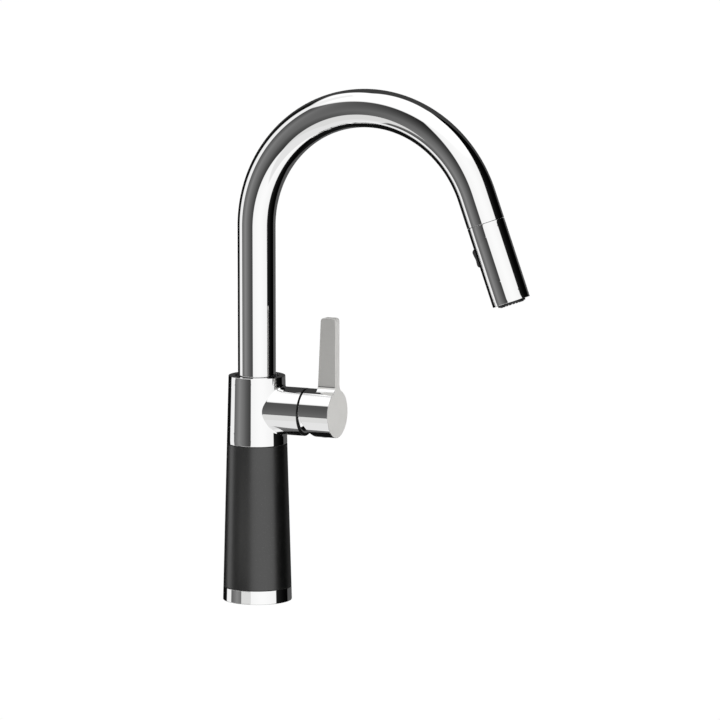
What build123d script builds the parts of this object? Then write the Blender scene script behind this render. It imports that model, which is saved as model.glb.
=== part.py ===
"""A tall single-lever kitchen mixer tap with a pull down spray head, in millimetres.

The worktop's face is z = 0 and the column's axis is Z. The spout and the lever point along +X.
"""
import os
from math import cos, radians, sin, sqrt

from build123d import *

# Column: one straight cone from the worktop to the top of the mixer body
CONE_R = 27.35
CONE_TAPER = 0.027
RING_TOP = 10.7
SLEEVE_TOP = 125.7
BODY_TOP = 179.8
WASHER_T = 0.5
TUBE_R = 20.0
TUBE_BORE_R = 17.5
SLEEVE_BORE_R = 20.3
SPIGOT_R = 17.4
EDGE = 0.4

# Foot, ports and mounting
RING_BORE_R = 18.5
RING_SEAT_R = 20.5
GASKET_R = 25.6
GASKET_BORE_R = 20.0
GASKET_T = 1.6
FOOT_BOTTOM = 0.3
FOOT_SEAT = 5.3
FLANGE_TOP = 9.0
FOOT_TOP = 15.0
FOOT_R = 18.2
FLANGE_R = 20.2
HOSE_PASSAGE_R = 6.1
PORT_CIRCLE_R = 11.6
PORT_R = 4.5
WATER_R = 2.4
OUTLET_ANGLE = 0
HOT_ANGLE = 72
COLD_ANGLE = -72
STUD_ANGLES = (144, -144)
STUD_R = 3.0
STUD_TOP = 7.0
STUD_BOTTOM = -62.0
CLAMP_TOP = -40.0
CLAMP_T = 2.5
CLAMP_R = 25.0
NUT_T = 6.0
NUT_FLATS = 10.0

# Water pipes between foot and mixer body
PIPE_R = 4.0
PIPE_SOCKET_R = 4.1
PIPE_BOTTOM = 10.6
PIPE_TOP = 118.0
SEAL_BORE_R = 3.3
SEAL_T = 1.4
SEAL_HEIGHTS = (12.2, 114.8)

# Mixer body
CASTING_BOTTOM = 112.0
SHOULDER = 122.0
SPOUT_BORE_FLOOR = 148.0
HOSE_BORE_R = 7.0
HUB_Z = 153.0
HOUSING_R = 19.0
MOUTH_X = 43.6
CHAMBER_FLOOR = 20.0
CHAMBER_R = 14.0
THREAD_FLOOR = 38.0
THREAD_R = 14.6
SEAT_FLOOR = 42.4
SEAT_R = 16.6
CHANNEL_R = 2.2
HOUSING_FILLET = 2.0
THRUST_T = 1.9
SLIDE_Z = 171.0
SLIDE_H = 7.6
SET_SCREW_Z = 160.0
SET_SCREW_R = 2.0

# Cartridge, along +X from the chamber floor
DISC_BASE = 25.0
DISC_FACE = 27.6
DISC_GAP = 0.05
DISC_R = 9.8
CARRIER_X = 29.8
CARRIER_END = 32.4
SPINDLE_FLANGE = 32.9
SPINDLE_FACE = 34.0
SPINDLE_END = 41.5
SPINDLE_R = 9.0
SLOT_Y = 3.1
SLOT_Z = 7.2
CARTRIDGE_R = 13.8
CARTRIDGE_BORE_R = 12.0
CARTRIDGE_END = 38.5
PIVOT_X = 36.0
PIVOT_R = 1.5
BALL_X = 31.3
BALL_R = 1.4
HOT_HOLE = (5.0, -4.0)
COLD_HOLE = (-5.0, -4.0)
OUTLET_HOLE = (0.0, -6.0)
HOT_FEED = (5.5, -9.8)
COLD_FEED = (-5.5, -9.8)
OUTLET_FEED = (0.0, -11.4)
HOLE_R = 1.9
DOME_R = 17.2
DOME_T = 1.3
DOME_MOUTH_R = 11.0

# Lever
HUB_X = 44.2
HUB_END = 70.2
HUB_R = 18.9
TILT_CUT = 25.0
BLADE_TOP = 229.0
BLADE_T = 7.8
BLADE_FOOT = 54.9
BLADE_LEAN = 0.045
BLADE_FILLET = 5.0
BLADE_CORNER = 2.5
STEM_R = 4.0
STEM_END = 63.0
GRUB_X = 60.0
GRUB_R = 2.5
PLUG_R = 3.0

# Spout: a tube bent through 160 degrees
SPOUT_R = 15.0
SPOUT_WALL = 1.2
SPOUT_FOOT_Z = 150.0
ARC_Z = 298.3
ARC_R = 97.5
ARC_TURN = 160.0
SPOUT_END = 22.15
HOSE_R = 5.5
HOSE_WALL = 1.5
HOSE_HEAD = 14.0
HOSE_BOTTOM = -66.0
FERRULE_TOP = -56.0
FERRULE_R = 6.6
NIPPLE_TOP = -68.0
NIPPLE_R = 5.0
NIPPLE_BOTTOM = -86.0

# Spray head, measured along the outlet's axis from the end of the bend
HEAD_TOP = 22.45
HEAD_END = 86.3
HEAD_BORE_R = 13.2
SPIGOT_TOP = 9.0
SPIGOT_HEAD_R = 10.2
HOSE_NUT_R = 7.3
VALVE_FLOOR = 19.0
VALVE_END = 25.2
VALVE_R = 6.1
CORE_R = 12.9
CORE_TOP = 26.0
CORE_END = 79.0
FACE_END = 87.8
FACE_R = 11.0
NOZZLES = 20
NOZZLE_CIRCLE_R = 8.8
NOZZLE_R = 0.75
AERATOR_R = 6.1
ROCKER_START = 38.5
ROCKER_END = 53.5
ROCKER_Y = 4.3
ROCKER_BASE = 8.2
ROCKER_PIVOT = (46.0, 9.9)
ROCKER_GAP = 0.45
ROCKER_PIN_R = 1.0
GAP = 0.3

HUB_AXIS = Axis((0, 0, HUB_Z), (1, 0, 0))
OUTLET_DIR = Vector(sin(radians(180 - ARC_TURN)), 0, -cos(radians(180 - ARC_TURN)))
INWARD_DIR = Vector(OUTLET_DIR.Z, 0, -OUTLET_DIR.X)
BEND_CENTRE = Vector(ARC_R, 0, ARC_Z)
BEND_END = BEND_CENTRE - INWARD_DIR * ARC_R


def cone_r(z):
    """The column's outside radius at height z."""
    return CONE_R - CONE_TAPER * z


def level(z):
    """A horizontal plane at height z."""
    return Plane.XY.offset(z)


def across(x):
    """A plane square to the lever's axis, with its own axes along Y and Z."""
    return Plane(origin=(x, 0, HUB_Z), x_dir=(0, 1, 0), z_dir=(1, 0, 0))


def along(s):
    """A plane square to the outlet's axis, s past the end of the bend."""
    return Plane(origin=BEND_END + OUTLET_DIR * s, x_dir=(0, 1, 0), z_dir=OUTLET_DIR)


def on_circle(angle, radius=PORT_CIRCLE_R):
    """A point on the port circle, as x and y."""
    return radius * cos(radians(angle)), radius * sin(radians(angle))


def annulus(base, outer, inner, length):
    """A ring of two radii that stands on the base plane."""
    with BuildPart() as ring:
        with BuildSketch(base):
            Circle(outer)
            Circle(inner, mode=Mode.SUBTRACT)
        extrude(amount=length)
    return ring.part


def turned(points, axis=Axis.Z):
    """A solid turned from a closed outline of points in the XZ plane."""
    with BuildPart() as piece:
        with BuildSketch(Plane.XZ):
            with BuildLine():
                Polyline(*points, close=True)
            make_face()
        revolve(axis=axis)
    return piece.part


def turned_hub(points):
    """A solid turned about the lever's axis, from points given as x and radius."""
    return turned([(x, HUB_Z + r) for x, r in points], HUB_AXIS)


def turned_head(points):
    """A solid turned about the outlet's axis, from points given as distance and radius."""
    with BuildPart() as piece:
        with BuildSketch(Plane(origin=BEND_END, x_dir=OUTLET_DIR, z_dir=(0, 1, 0))):
            with BuildLine():
                Polyline(*points, close=True)
            make_face()
        revolve(axis=Axis(BEND_END, OUTLET_DIR))
    return piece.part


def base_ring():
    outline = [
        (RING_BORE_R, 0),
        (GASKET_BORE_R, 0),
        (GASKET_BORE_R, GASKET_T),
        (GASKET_R, GASKET_T),
        (GASKET_R, 0),
        (CONE_R - EDGE, 0),
        (cone_r(EDGE), EDGE),
        (cone_r(RING_TOP - EDGE), RING_TOP - EDGE),
        (cone_r(RING_TOP) - EDGE, RING_TOP),
        (RING_SEAT_R, RING_TOP),
        (RING_SEAT_R, FOOT_SEAT),
        (RING_BORE_R, FOOT_SEAT),
    ]
    return turned(outline)


def foot_plate():
    with BuildPart() as foot:
        with BuildSketch(level(FOOT_BOTTOM)):
            Circle(FOOT_R)
        extrude(amount=FOOT_SEAT - FOOT_BOTTOM)
        with BuildSketch(level(FOOT_SEAT)):
            Circle(FLANGE_R)
        extrude(amount=FLANGE_TOP - FOOT_SEAT)
        with BuildSketch(level(FLANGE_TOP)):
            Circle(SPIGOT_R)
        extrude(amount=FOOT_TOP - FLANGE_TOP)
        with BuildSketch(level(FOOT_BOTTOM)):
            Circle(HOSE_PASSAGE_R)
            with Locations(*(on_circle(a) for a in (OUTLET_ANGLE, HOT_ANGLE, COLD_ANGLE))):
                Circle(WATER_R)
        extrude(amount=FOOT_TOP, mode=Mode.SUBTRACT)
        with BuildSketch(level(FOOT_BOTTOM)):
            with Locations(*(on_circle(a) for a in (OUTLET_ANGLE, HOT_ANGLE, COLD_ANGLE))):
                Circle(PORT_R)
        extrude(amount=FLANGE_TOP - FOOT_BOTTOM, mode=Mode.SUBTRACT)
        with BuildSketch(level(PIPE_BOTTOM)):
            with Locations(*(on_circle(a) for a in (OUTLET_ANGLE, HOT_ANGLE, COLD_ANGLE))):
                Circle(PIPE_SOCKET_R)
        extrude(amount=FOOT_TOP - PIPE_BOTTOM, mode=Mode.SUBTRACT)
        with BuildSketch(level(FOOT_BOTTOM)):
            with Locations(*(on_circle(a) for a in STUD_ANGLES)):
                Circle(STUD_R)
        extrude(amount=STUD_TOP - FOOT_BOTTOM, mode=Mode.SUBTRACT)
    return foot.part


def mounting_studs():
    with BuildPart() as studs:
        with BuildSketch(level(STUD_BOTTOM)):
            with Locations(*(on_circle(a) for a in STUD_ANGLES)):
                Circle(STUD_R)
        extrude(amount=STUD_TOP - STUD_BOTTOM)
        chamfer(studs.edges().group_by(Axis.Z)[0], EDGE)
    return studs.part


def horseshoe(top, radius):
    """A C-shaped plate that passes the hoses and sits on the two studs."""
    hose_slot_x = -2.5
    hose_slot_y = 16.6
    hose_notch_r = 6.5
    stud_hole_r = 3.3
    corner_r = 3.0
    with BuildPart() as plate:
        with BuildSketch(level(top)):
            Circle(radius)
            with BuildSketch(mode=Mode.SUBTRACT) as opening:
                with Locations((hose_slot_x + radius, 0)):
                    Rectangle(2 * radius, 2 * hose_slot_y)
                fillet(opening.vertices().group_by(Axis.X)[0], corner_r)
            Circle(hose_notch_r, mode=Mode.SUBTRACT)
            with Locations(*(on_circle(a) for a in STUD_ANGLES)):
                Circle(stud_hole_r, mode=Mode.SUBTRACT)
        extrude(amount=-CLAMP_T)
    return plate.part


def clamp_nuts():
    with BuildPart() as nuts:
        with BuildSketch(level(CLAMP_TOP - 2 * CLAMP_T)):
            with Locations(*(on_circle(a) for a in STUD_ANGLES)):
                RegularPolygon(NUT_FLATS / 2, 6, major_radius=False)
                Circle(STUD_R + GAP / 3, mode=Mode.SUBTRACT)
        extrude(amount=-NUT_T)
    return nuts.part


def composite_sleeve():
    bottom = RING_TOP + WASHER_T
    top = SLEEVE_TOP - WASHER_T
    edge = EDGE / 2
    outline = [
        (SLEEVE_BORE_R, bottom),
        (cone_r(bottom) - edge, bottom),
        (cone_r(bottom), bottom + edge),
        (cone_r(top), top - edge),
        (cone_r(top) - edge, top),
        (SLEEVE_BORE_R, top),
    ]
    return turned(outline)


def sleeve_washers():
    recess = 0.6
    with BuildPart() as washers:
        for z in (RING_TOP, SLEEVE_TOP - WASHER_T):
            with BuildSketch(level(z)):
                Circle(cone_r(z) - recess)
                Circle(RING_SEAT_R, mode=Mode.SUBTRACT)
            extrude(amount=WASHER_T)
    return washers.part


def water_pipe(angle):
    with BuildPart() as pipe:
        with BuildSketch(level(PIPE_BOTTOM)):
            with Locations(on_circle(angle)):
                Circle(PIPE_R)
                Circle(WATER_R, mode=Mode.SUBTRACT)
        extrude(amount=PIPE_TOP - PIPE_BOTTOM)
        for z in SEAL_HEIGHTS:
            with BuildSketch(level(z)):
                with Locations(on_circle(angle)):
                    Circle(PIPE_SOCKET_R)
                    Circle(SEAL_BORE_R, mode=Mode.SUBTRACT)
            extrude(amount=SEAL_T, mode=Mode.SUBTRACT)
    return pipe.part


def pipe_seals():
    with BuildPart() as seals:
        for z in SEAL_HEIGHTS:
            with BuildSketch(level(z)):
                with Locations(*(on_circle(a) for a in (OUTLET_ANGLE, HOT_ANGLE, COLD_ANGLE))):
                    Circle(PIPE_SOCKET_R)
                    Circle(SEAL_BORE_R, mode=Mode.SUBTRACT)
            extrude(amount=SEAL_T)
    return seals.part


def drill(start, end, radius):
    """Cut a straight round hole between two points of the part being built."""
    run = Vector(*end) - Vector(*start)
    with Locations(Plane(origin=start, z_dir=run)):
        Cylinder(radius, run.length, align=(Align.CENTER, Align.CENTER, Align.MIN), mode=Mode.SUBTRACT)


def mixer_body():
    """The brass casting: a cone with the lever's housing, the spout's bore and the water channels."""
    reach = 1.0
    with BuildPart() as casting:
        with BuildSketch(Plane.XZ):
            with BuildLine():
                Polyline(
                    (0, CASTING_BOTTOM),
                    (SPIGOT_R, CASTING_BOTTOM),
                    (SPIGOT_R, SHOULDER),
                    (TUBE_R, SHOULDER),
                    (TUBE_R, SLEEVE_TOP),
                    (cone_r(SLEEVE_TOP) - EDGE, SLEEVE_TOP),
                    (cone_r(SLEEVE_TOP + EDGE), SLEEVE_TOP + EDGE),
                    (cone_r(BODY_TOP - EDGE), BODY_TOP - EDGE),
                    (cone_r(BODY_TOP) - EDGE, BODY_TOP),
                    (0, BODY_TOP),
                    close=True,
                )
            make_face()
        revolve(axis=Axis.Z)
        old_edges = casting.edges()
        with BuildSketch(across(0)):
            Circle(HOUSING_R)
        extrude(amount=MOUTH_X)
        seam = [e for e in casting.edges() - old_edges if e.bounding_box().max.X < MOUTH_X - 1]
        fillet(seam, HOUSING_FILLET)
        chamfer(casting.edges().group_by(Axis.X)[-1], EDGE)
        with BuildSketch(level(SPOUT_BORE_FLOOR)):
            Circle(TUBE_BORE_R)
        extrude(amount=BODY_TOP - SPOUT_BORE_FLOOR, mode=Mode.SUBTRACT)
        with BuildSketch(level(CASTING_BOTTOM)):
            Circle(HOSE_BORE_R)
        extrude(amount=SPOUT_BORE_FLOOR - CASTING_BOTTOM, mode=Mode.SUBTRACT)
        for floor, radius in ((CHAMBER_FLOOR, CHAMBER_R), (THREAD_FLOOR, THREAD_R), (SEAT_FLOOR, SEAT_R)):
            with BuildSketch(across(floor)):
                Circle(radius)
            extrude(amount=MOUTH_X - floor, mode=Mode.SUBTRACT)
        with BuildSketch(level(CASTING_BOTTOM)):
            with Locations(*(on_circle(a) for a in (OUTLET_ANGLE, HOT_ANGLE, COLD_ANGLE))):
                Circle(PIPE_SOCKET_R)
        extrude(amount=PIPE_TOP + GAP - CASTING_BOTTOM, mode=Mode.SUBTRACT)
        feeds = ((OUTLET_ANGLE, OUTLET_FEED), (HOT_ANGLE, HOT_FEED), (COLD_ANGLE, COLD_FEED))
        for angle, (y, z) in feeds:
            foot = (*on_circle(angle), PIPE_TOP)
            elbow = (*on_circle(angle), HUB_Z + z)
            drill(foot, (*on_circle(angle), HUB_Z + z + CHANNEL_R / 2), CHANNEL_R)
            drill(elbow, (CHAMBER_FLOOR + reach, y, HUB_Z + z), CHANNEL_R - DISC_GAP)
        drill((-TUBE_BORE_R + reach, 0, SET_SCREW_Z), (-CONE_R, 0, SET_SCREW_Z), SET_SCREW_R)
    return casting.part


def spout_set_screw():
    tip_x = 16.2
    head_x = 21.6
    socket_r = 1.0
    socket_depth = 2.0
    with BuildPart() as screw:
        with BuildSketch(Plane(origin=(-tip_x, 0, SET_SCREW_Z), z_dir=(-1, 0, 0))):
            Circle(SET_SCREW_R)
        extrude(amount=head_x - tip_x)
        with BuildSketch(Plane(origin=(-head_x, 0, SET_SCREW_Z), z_dir=(1, 0, 0))):
            RegularPolygon(socket_r, 6)
        extrude(amount=socket_depth, mode=Mode.SUBTRACT)
    return screw.part


def spout_foot():
    """A brass bush brazed round the tube's foot, with a part groove that limits the swivel."""
    bush_r = 17.2
    bush_z = 152.2
    bush_top = 168.0
    groove_r = 15.8
    groove_half = SET_SCREW_R + GAP
    groove_turn = 166.0
    with BuildPart() as bush:
        with BuildSketch(level(bush_z)):
            Circle(bush_r)
            Circle(SPOUT_R, mode=Mode.SUBTRACT)
        extrude(amount=bush_top - bush_z)
        with BuildSketch(Plane.XZ.rotated((0, 0, 180 - groove_turn / 2))):
            with Locations(((groove_r + bush_r + 1) / 2, SET_SCREW_Z)):
                Rectangle(bush_r + 1 - groove_r, 2 * groove_half)
        revolve(axis=Axis.Z, revolution_arc=groove_turn, mode=Mode.SUBTRACT)
    return bush.part


def spout_tube():
    with BuildPart() as tube:
        with BuildLine(Plane.XZ) as path:
            riser = Line((0, SPOUT_FOOT_Z), (0, ARC_Z))
            bend = JernArc(start=riser @ 1, tangent=riser % 1, radius=ARC_R, arc_size=-ARC_TURN)
            Line(bend @ 1, bend @ 1 + (bend % 1) * SPOUT_END)
        with BuildSketch(level(SPOUT_FOOT_Z)):
            Circle(SPOUT_R)
            Circle(SPOUT_R - SPOUT_WALL, mode=Mode.SUBTRACT)
        sweep(path=path.wire())
        lip = tube.faces().sort_by_distance(BEND_END + OUTLET_DIR * SPOUT_END)[0]
        chamfer(lip.edges().sort_by(SortBy.LENGTH)[-1], EDGE / 2)
    return tube.part


def pull_hose():
    with BuildPart() as hose:
        with BuildLine(Plane.XZ) as path:
            riser = Line((0, HOSE_BOTTOM), (0, ARC_Z))
            bend = JernArc(start=riser @ 1, tangent=riser % 1, radius=ARC_R, arc_size=-ARC_TURN)
            Line(bend @ 1, bend @ 1 + (bend % 1) * HOSE_HEAD)
        with BuildSketch(level(HOSE_BOTTOM)):
            Circle(HOSE_R)
            Circle(HOSE_R - HOSE_WALL, mode=Mode.SUBTRACT)
        sweep(path=path.wire())
    return hose.part


def hose_coupling():
    bore_r = 3.0
    groove_r = 4.2
    groove_tops = (-76.0, -80.0)
    with BuildPart() as coupling:
        with BuildSketch(level(FERRULE_TOP)):
            Circle(FERRULE_R)
        extrude(amount=NIPPLE_TOP - FERRULE_TOP)
        chamfer(coupling.edges(), EDGE)
        with BuildSketch(level(NIPPLE_TOP)):
            Circle(NIPPLE_R)
        extrude(amount=NIPPLE_BOTTOM - NIPPLE_TOP)
        with BuildSketch(level(FERRULE_TOP)):
            Circle(HOSE_R)
        extrude(amount=HOSE_BOTTOM - FERRULE_TOP, mode=Mode.SUBTRACT)
        with BuildSketch(level(HOSE_BOTTOM)):
            Circle(bore_r)
        extrude(amount=NIPPLE_BOTTOM - HOSE_BOTTOM, mode=Mode.SUBTRACT)
        for z in groove_tops:
            with BuildSketch(level(z)):
                Circle(NIPPLE_R)
                Circle(groove_r, mode=Mode.SUBTRACT)
            extrude(amount=-SEAL_T, mode=Mode.SUBTRACT)
    with BuildPart() as seals:
        for z in groove_tops:
            with BuildSketch(level(z)):
                Circle(NIPPLE_R + EDGE / 4)
                Circle(groove_r, mode=Mode.SUBTRACT)
            extrude(amount=-SEAL_T)
    return coupling.part, seals.part


def cartridge_seal():
    with BuildPart() as seal:
        with BuildSketch(across(CHAMBER_FLOOR)):
            Circle(CHAMBER_R - GAP)
            with Locations(HOT_FEED, COLD_FEED, OUTLET_FEED):
                Circle(CHANNEL_R, mode=Mode.SUBTRACT)
        extrude(amount=WASHER_T)
    return seal.part


def cartridge_base():
    start = CHAMBER_FLOOR + WASHER_T
    with BuildPart() as base:
        with BuildSketch(across(start)):
            Circle(CARTRIDGE_R)
        extrude(amount=DISC_BASE - start)
        for feed, hole in ((HOT_FEED, HOT_HOLE), (COLD_FEED, COLD_HOLE), (OUTLET_FEED, OUTLET_HOLE)):
            drill((start, feed[0], HUB_Z + feed[1]), (DISC_BASE, hole[0], HUB_Z + hole[1]), HOLE_R)
    return base.part


def fixed_disc():
    with BuildPart() as disc:
        with BuildSketch(across(DISC_BASE)):
            Circle(CARTRIDGE_BORE_R - GAP / 2)
            with Locations(HOT_HOLE, COLD_HOLE, OUTLET_HOLE):
                Circle(HOLE_R, mode=Mode.SUBTRACT)
        extrude(amount=DISC_FACE - DISC_BASE)
    return disc.part


def moving_disc():
    pocket_centre = (0, -7.1)
    pocket_width = 8.8
    pocket_height = 1.8
    pocket_depth = 1.2
    with BuildPart() as disc:
        with BuildSketch(across(DISC_FACE + DISC_GAP)):
            Circle(DISC_R)
        extrude(amount=CARRIER_X - DISC_FACE - DISC_GAP)
        with BuildSketch(across(DISC_FACE + DISC_GAP)):
            with Locations(pocket_centre):
                Rectangle(pocket_width, pocket_height)
        extrude(amount=pocket_depth, mode=Mode.SUBTRACT)
    return disc.part


def disc_carrier():
    socket_r = BALL_R + 0.2
    carrier_r = 9.0
    with BuildPart() as carrier:
        with BuildSketch(across(CARRIER_X)):
            Circle(carrier_r)
            Circle(socket_r, mode=Mode.SUBTRACT)
        extrude(amount=CARRIER_END - CARRIER_X)
        mouth = carrier.edges().group_by(Axis.X)[-1].sort_by(SortBy.LENGTH)[0]
        chamfer(mouth, EDGE)
    return carrier.part


def cartridge_housing():
    flange_end = SPINDLE_FACE + DISC_GAP
    outline = [
        (DISC_BASE, CARTRIDGE_BORE_R),
        (flange_end, CARTRIDGE_BORE_R),
        (flange_end, SPINDLE_R + DISC_GAP),
        (CARTRIDGE_END, SPINDLE_R + DISC_GAP),
        (CARTRIDGE_END, CARTRIDGE_R),
        (DISC_BASE, CARTRIDGE_R),
    ]
    return turned_hub(outline)


def spindle():
    flange_r = 11.6
    with BuildPart() as guide:
        with BuildSketch(across(SPINDLE_FLANGE)):
            Circle(flange_r)
        extrude(amount=SPINDLE_FACE - SPINDLE_FLANGE)
        with BuildSketch(across(SPINDLE_FACE)):
            Circle(SPINDLE_R)
        extrude(amount=SPINDLE_END - SPINDLE_FACE)
        with BuildSketch(across(SPINDLE_FLANGE)):
            Rectangle(2 * SLOT_Y, 2 * SLOT_Z)
        extrude(amount=SPINDLE_END - SPINDLE_FLANGE, mode=Mode.SUBTRACT)
        drill((PIVOT_X, -SPINDLE_R - 1, HUB_Z), (PIVOT_X, SPINDLE_R + 1, HUB_Z), PIVOT_R)
    return guide.part


def pivot_pin():
    half = 8.4
    with BuildPart() as pin:
        with BuildSketch(Plane(origin=(PIVOT_X, -half, HUB_Z), z_dir=(0, 1, 0))):
            Circle(PIVOT_R)
        extrude(amount=2 * half)
    return pin.part


def cartridge_nut():
    return annulus(across(CARTRIDGE_END), THREAD_R - DISC_GAP, SPINDLE_R + GAP, SEAT_FLOOR - CARTRIDGE_END)


def dome_cover():
    """A thin chromed ball segment round the lever's pivot, which the hub moves over."""
    outer_start = sqrt(DOME_R**2 - (MOUTH_X - PIVOT_X) ** 2)
    inner = DOME_R - DOME_T
    inner_start = sqrt(inner**2 - (SEAT_FLOOR - PIVOT_X) ** 2)
    outer_end = (PIVOT_X + sqrt(DOME_R**2 - DOME_MOUTH_R**2), HUB_Z + DOME_MOUTH_R)
    scale = inner / DOME_R
    inner_end = (PIVOT_X + (outer_end[0] - PIVOT_X) * scale, HUB_Z + DOME_MOUTH_R * scale)
    flange_r = SEAT_R - 0.1
    with BuildPart() as dome:
        with BuildSketch(Plane.XZ):
            with BuildLine():
                Polyline(
                    (SEAT_FLOOR, HUB_Z + inner_start),
                    (SEAT_FLOOR, HUB_Z + flange_r),
                    (MOUTH_X, HUB_Z + flange_r),
                    (MOUTH_X, HUB_Z + outer_start),
                )
                RadiusArc((MOUTH_X, HUB_Z + outer_start), outer_end, DOME_R)
                Line(outer_end, inner_end)
                RadiusArc(inner_end, (SEAT_FLOOR, HUB_Z + inner_start), -inner)
            make_face()
        revolve(axis=HUB_AXIS)
    return dome.part


def lever_handle():
    cavity_r = DOME_R + 0.4
    clearance = 0.25
    stem_bore_x = 45.0
    plug_depth = 2.4
    shoulder = HUB_Z + HUB_R
    lean = (BLADE_TOP - shoulder) * BLADE_LEAN
    cavity_x = HUB_X - 1
    cavity_mouth = sqrt(cavity_r**2 - (cavity_x - PIVOT_X) ** 2)
    tilt = radians(TILT_CUT)
    relief = Plane(origin=(PIVOT_X, 0, HUB_Z), z_dir=(cos(tilt), 0, sin(tilt)))
    with BuildPart() as handle:
        with BuildSketch(across(HUB_X)):
            Circle(HUB_R)
        extrude(amount=BLADE_FOOT - HUB_X)
        chamfer(handle.edges().group_by(Axis.X)[0], EDGE)
        with BuildSketch(across(BLADE_FOOT)) as keyhole:
            Circle(HUB_R)
            with Locations((0, (BLADE_TOP - HUB_Z) / 2)):
                Rectangle(BLADE_T, BLADE_TOP - HUB_Z)
            roots = [v for v in keyhole.vertices() if 1 < v.Y < BLADE_TOP - HUB_Z - 1]
            fillet(roots, BLADE_FILLET)
        extrude(amount=HUB_END - BLADE_FOOT)
        fillet(handle.edges().filter_by(Axis.Y).group_by(Axis.Z)[-1].sort_by(Axis.X)[-1], BLADE_CORNER)
        with BuildSketch(Plane.XZ):
            with BuildLine():
                Polyline(
                    (BLADE_FOOT - 1, shoulder),
                    (BLADE_FOOT, shoulder),
                    (BLADE_FOOT + lean, BLADE_TOP),
                    (BLADE_FOOT - 1, BLADE_TOP),
                    close=True,
                )
            make_face()
        extrude(amount=BLADE_T, both=True, mode=Mode.SUBTRACT)
        fillet(handle.edges().filter_by(Axis.Y).group_by(Axis.Z)[-1].sort_by(Axis.X)[0], BLADE_CORNER)
        with BuildSketch(Plane.XZ):
            with BuildLine():
                Line((cavity_x, HUB_Z), (cavity_x, HUB_Z + cavity_mouth))
                RadiusArc((cavity_x, HUB_Z + cavity_mouth), (PIVOT_X + cavity_r, HUB_Z), cavity_r)
                Line((PIVOT_X + cavity_r, HUB_Z), (cavity_x, HUB_Z))
            make_face()
        revolve(axis=HUB_AXIS, mode=Mode.SUBTRACT)
        with BuildSketch(relief.offset(MOUTH_X + clearance - PIVOT_X)):
            Rectangle(4 * HUB_R, 4 * HUB_R)
        extrude(amount=-2 * HUB_R, mode=Mode.SUBTRACT)
        drill((stem_bore_x, 0, HUB_Z), (STEM_END, 0, HUB_Z), STEM_R)
        drill((GRUB_X, 0, HUB_Z - HUB_R - 1), (GRUB_X, 0, HUB_Z - STEM_R / 2), GRUB_R)
        drill((GRUB_X, 0, HUB_Z - HUB_R - 1), (GRUB_X, 0, HUB_Z - HUB_R + plug_depth), PLUG_R)
    return handle.part


def cartridge_stem():
    block_end = 43.5
    block_y = 2.9
    block_z = 3.2
    neck_r = 1.0
    hole_r = PIVOT_R + DISC_GAP
    with BuildPart() as stem:
        with BuildSketch(Plane.XZ):
            with Locations((PIVOT_X, HUB_Z)):
                Circle(block_z)
            with Locations(((PIVOT_X + block_end) / 2, HUB_Z)):
                Rectangle(block_end - PIVOT_X, 2 * block_z)
        extrude(amount=block_y, both=True)
        with BuildSketch(across(block_end)):
            Circle(STEM_R)
        extrude(amount=STEM_END - block_end)
        chamfer(stem.edges().group_by(Axis.X)[-1], EDGE)
        with BuildSketch(across(BALL_X)):
            Circle(neck_r)
        extrude(amount=PIVOT_X - block_z / 2 - BALL_X)
        with Locations((BALL_X, 0, HUB_Z)):
            Sphere(BALL_R)
        drill((PIVOT_X, -STEM_R, HUB_Z), (PIVOT_X, STEM_R, HUB_Z), hole_r)
    return stem.part


def handle_screw():
    length = 8.0
    socket_r = 1.45
    socket_depth = 2.5
    seat = HUB_Z - STEM_R
    with BuildPart() as screw:
        with BuildSketch(Plane(origin=(GRUB_X, 0, seat), z_dir=(0, 0, -1))):
            Circle(GRUB_R)
        extrude(amount=length)
        with BuildSketch(Plane(origin=(GRUB_X, 0, seat - length), z_dir=(0, 0, 1))):
            RegularPolygon(socket_r, 6)
        extrude(amount=socket_depth, mode=Mode.SUBTRACT)
    return screw.part


def index_plug():
    top = HUB_Z - HUB_R + 2.4
    thickness = 1.9
    with BuildPart() as plug:
        with BuildSketch(Plane(origin=(GRUB_X, 0, top))):
            Circle(PLUG_R - DISC_GAP)
        extrude(amount=-thickness)
        chamfer(plug.edges().group_by(Axis.Z)[0], EDGE)
    return plug.part


def docking_collar():
    lip_r = SPOUT_R - SPOUT_WALL
    throat_r = HOSE_R + 1.0
    outline = [
        (2.0, lip_r),
        (2.0, throat_r + 1.0),
        (3.0, throat_r),
        (SPIGOT_TOP - 2.0, throat_r),
        (SPIGOT_TOP - 1.0, SPIGOT_HEAD_R + GAP),
        (SPOUT_END - 2.0, SPIGOT_HEAD_R + GAP),
        (SPOUT_END - 1.0, SPIGOT_HEAD_R + 1.0),
        (SPOUT_END - 1.0, lip_r),
    ]
    return turned_head(outline)


def docking_spigot():
    flange_floor = 24.0
    lead = 1.0
    outline = [
        (SPIGOT_TOP, HOSE_NUT_R),
        (SPIGOT_TOP, SPIGOT_HEAD_R - lead),
        (SPIGOT_TOP + lead, SPIGOT_HEAD_R),
        (flange_floor, SPIGOT_HEAD_R),
        (flange_floor, CORE_R),
        (CORE_TOP, CORE_R),
        (CORE_TOP, VALVE_R),
        (VALVE_FLOOR, VALVE_R),
        (VALVE_FLOOR, HOSE_NUT_R),
    ]
    return turned_head(outline)


def hose_nut():
    start = SPIGOT_TOP + 0.5
    outer = HOSE_NUT_R - DISC_GAP
    hose_bore = HOSE_R + 0.1
    water_bore = 3.5
    seat = HOSE_HEAD + 1.0
    outline = [
        (start, hose_bore),
        (start, outer),
        (VALVE_FLOOR, outer),
        (VALVE_FLOOR, water_bore),
        (seat, water_bore),
        (seat, hose_bore),
    ]
    return turned_head(outline)


def head_insert(start, end, bore_r):
    """A short ring that fits the valve's bore in the spray head."""
    outer = VALVE_R - DISC_GAP
    return turned_head([(start, bore_r), (start, outer), (end, outer), (end, bore_r)])


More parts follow.
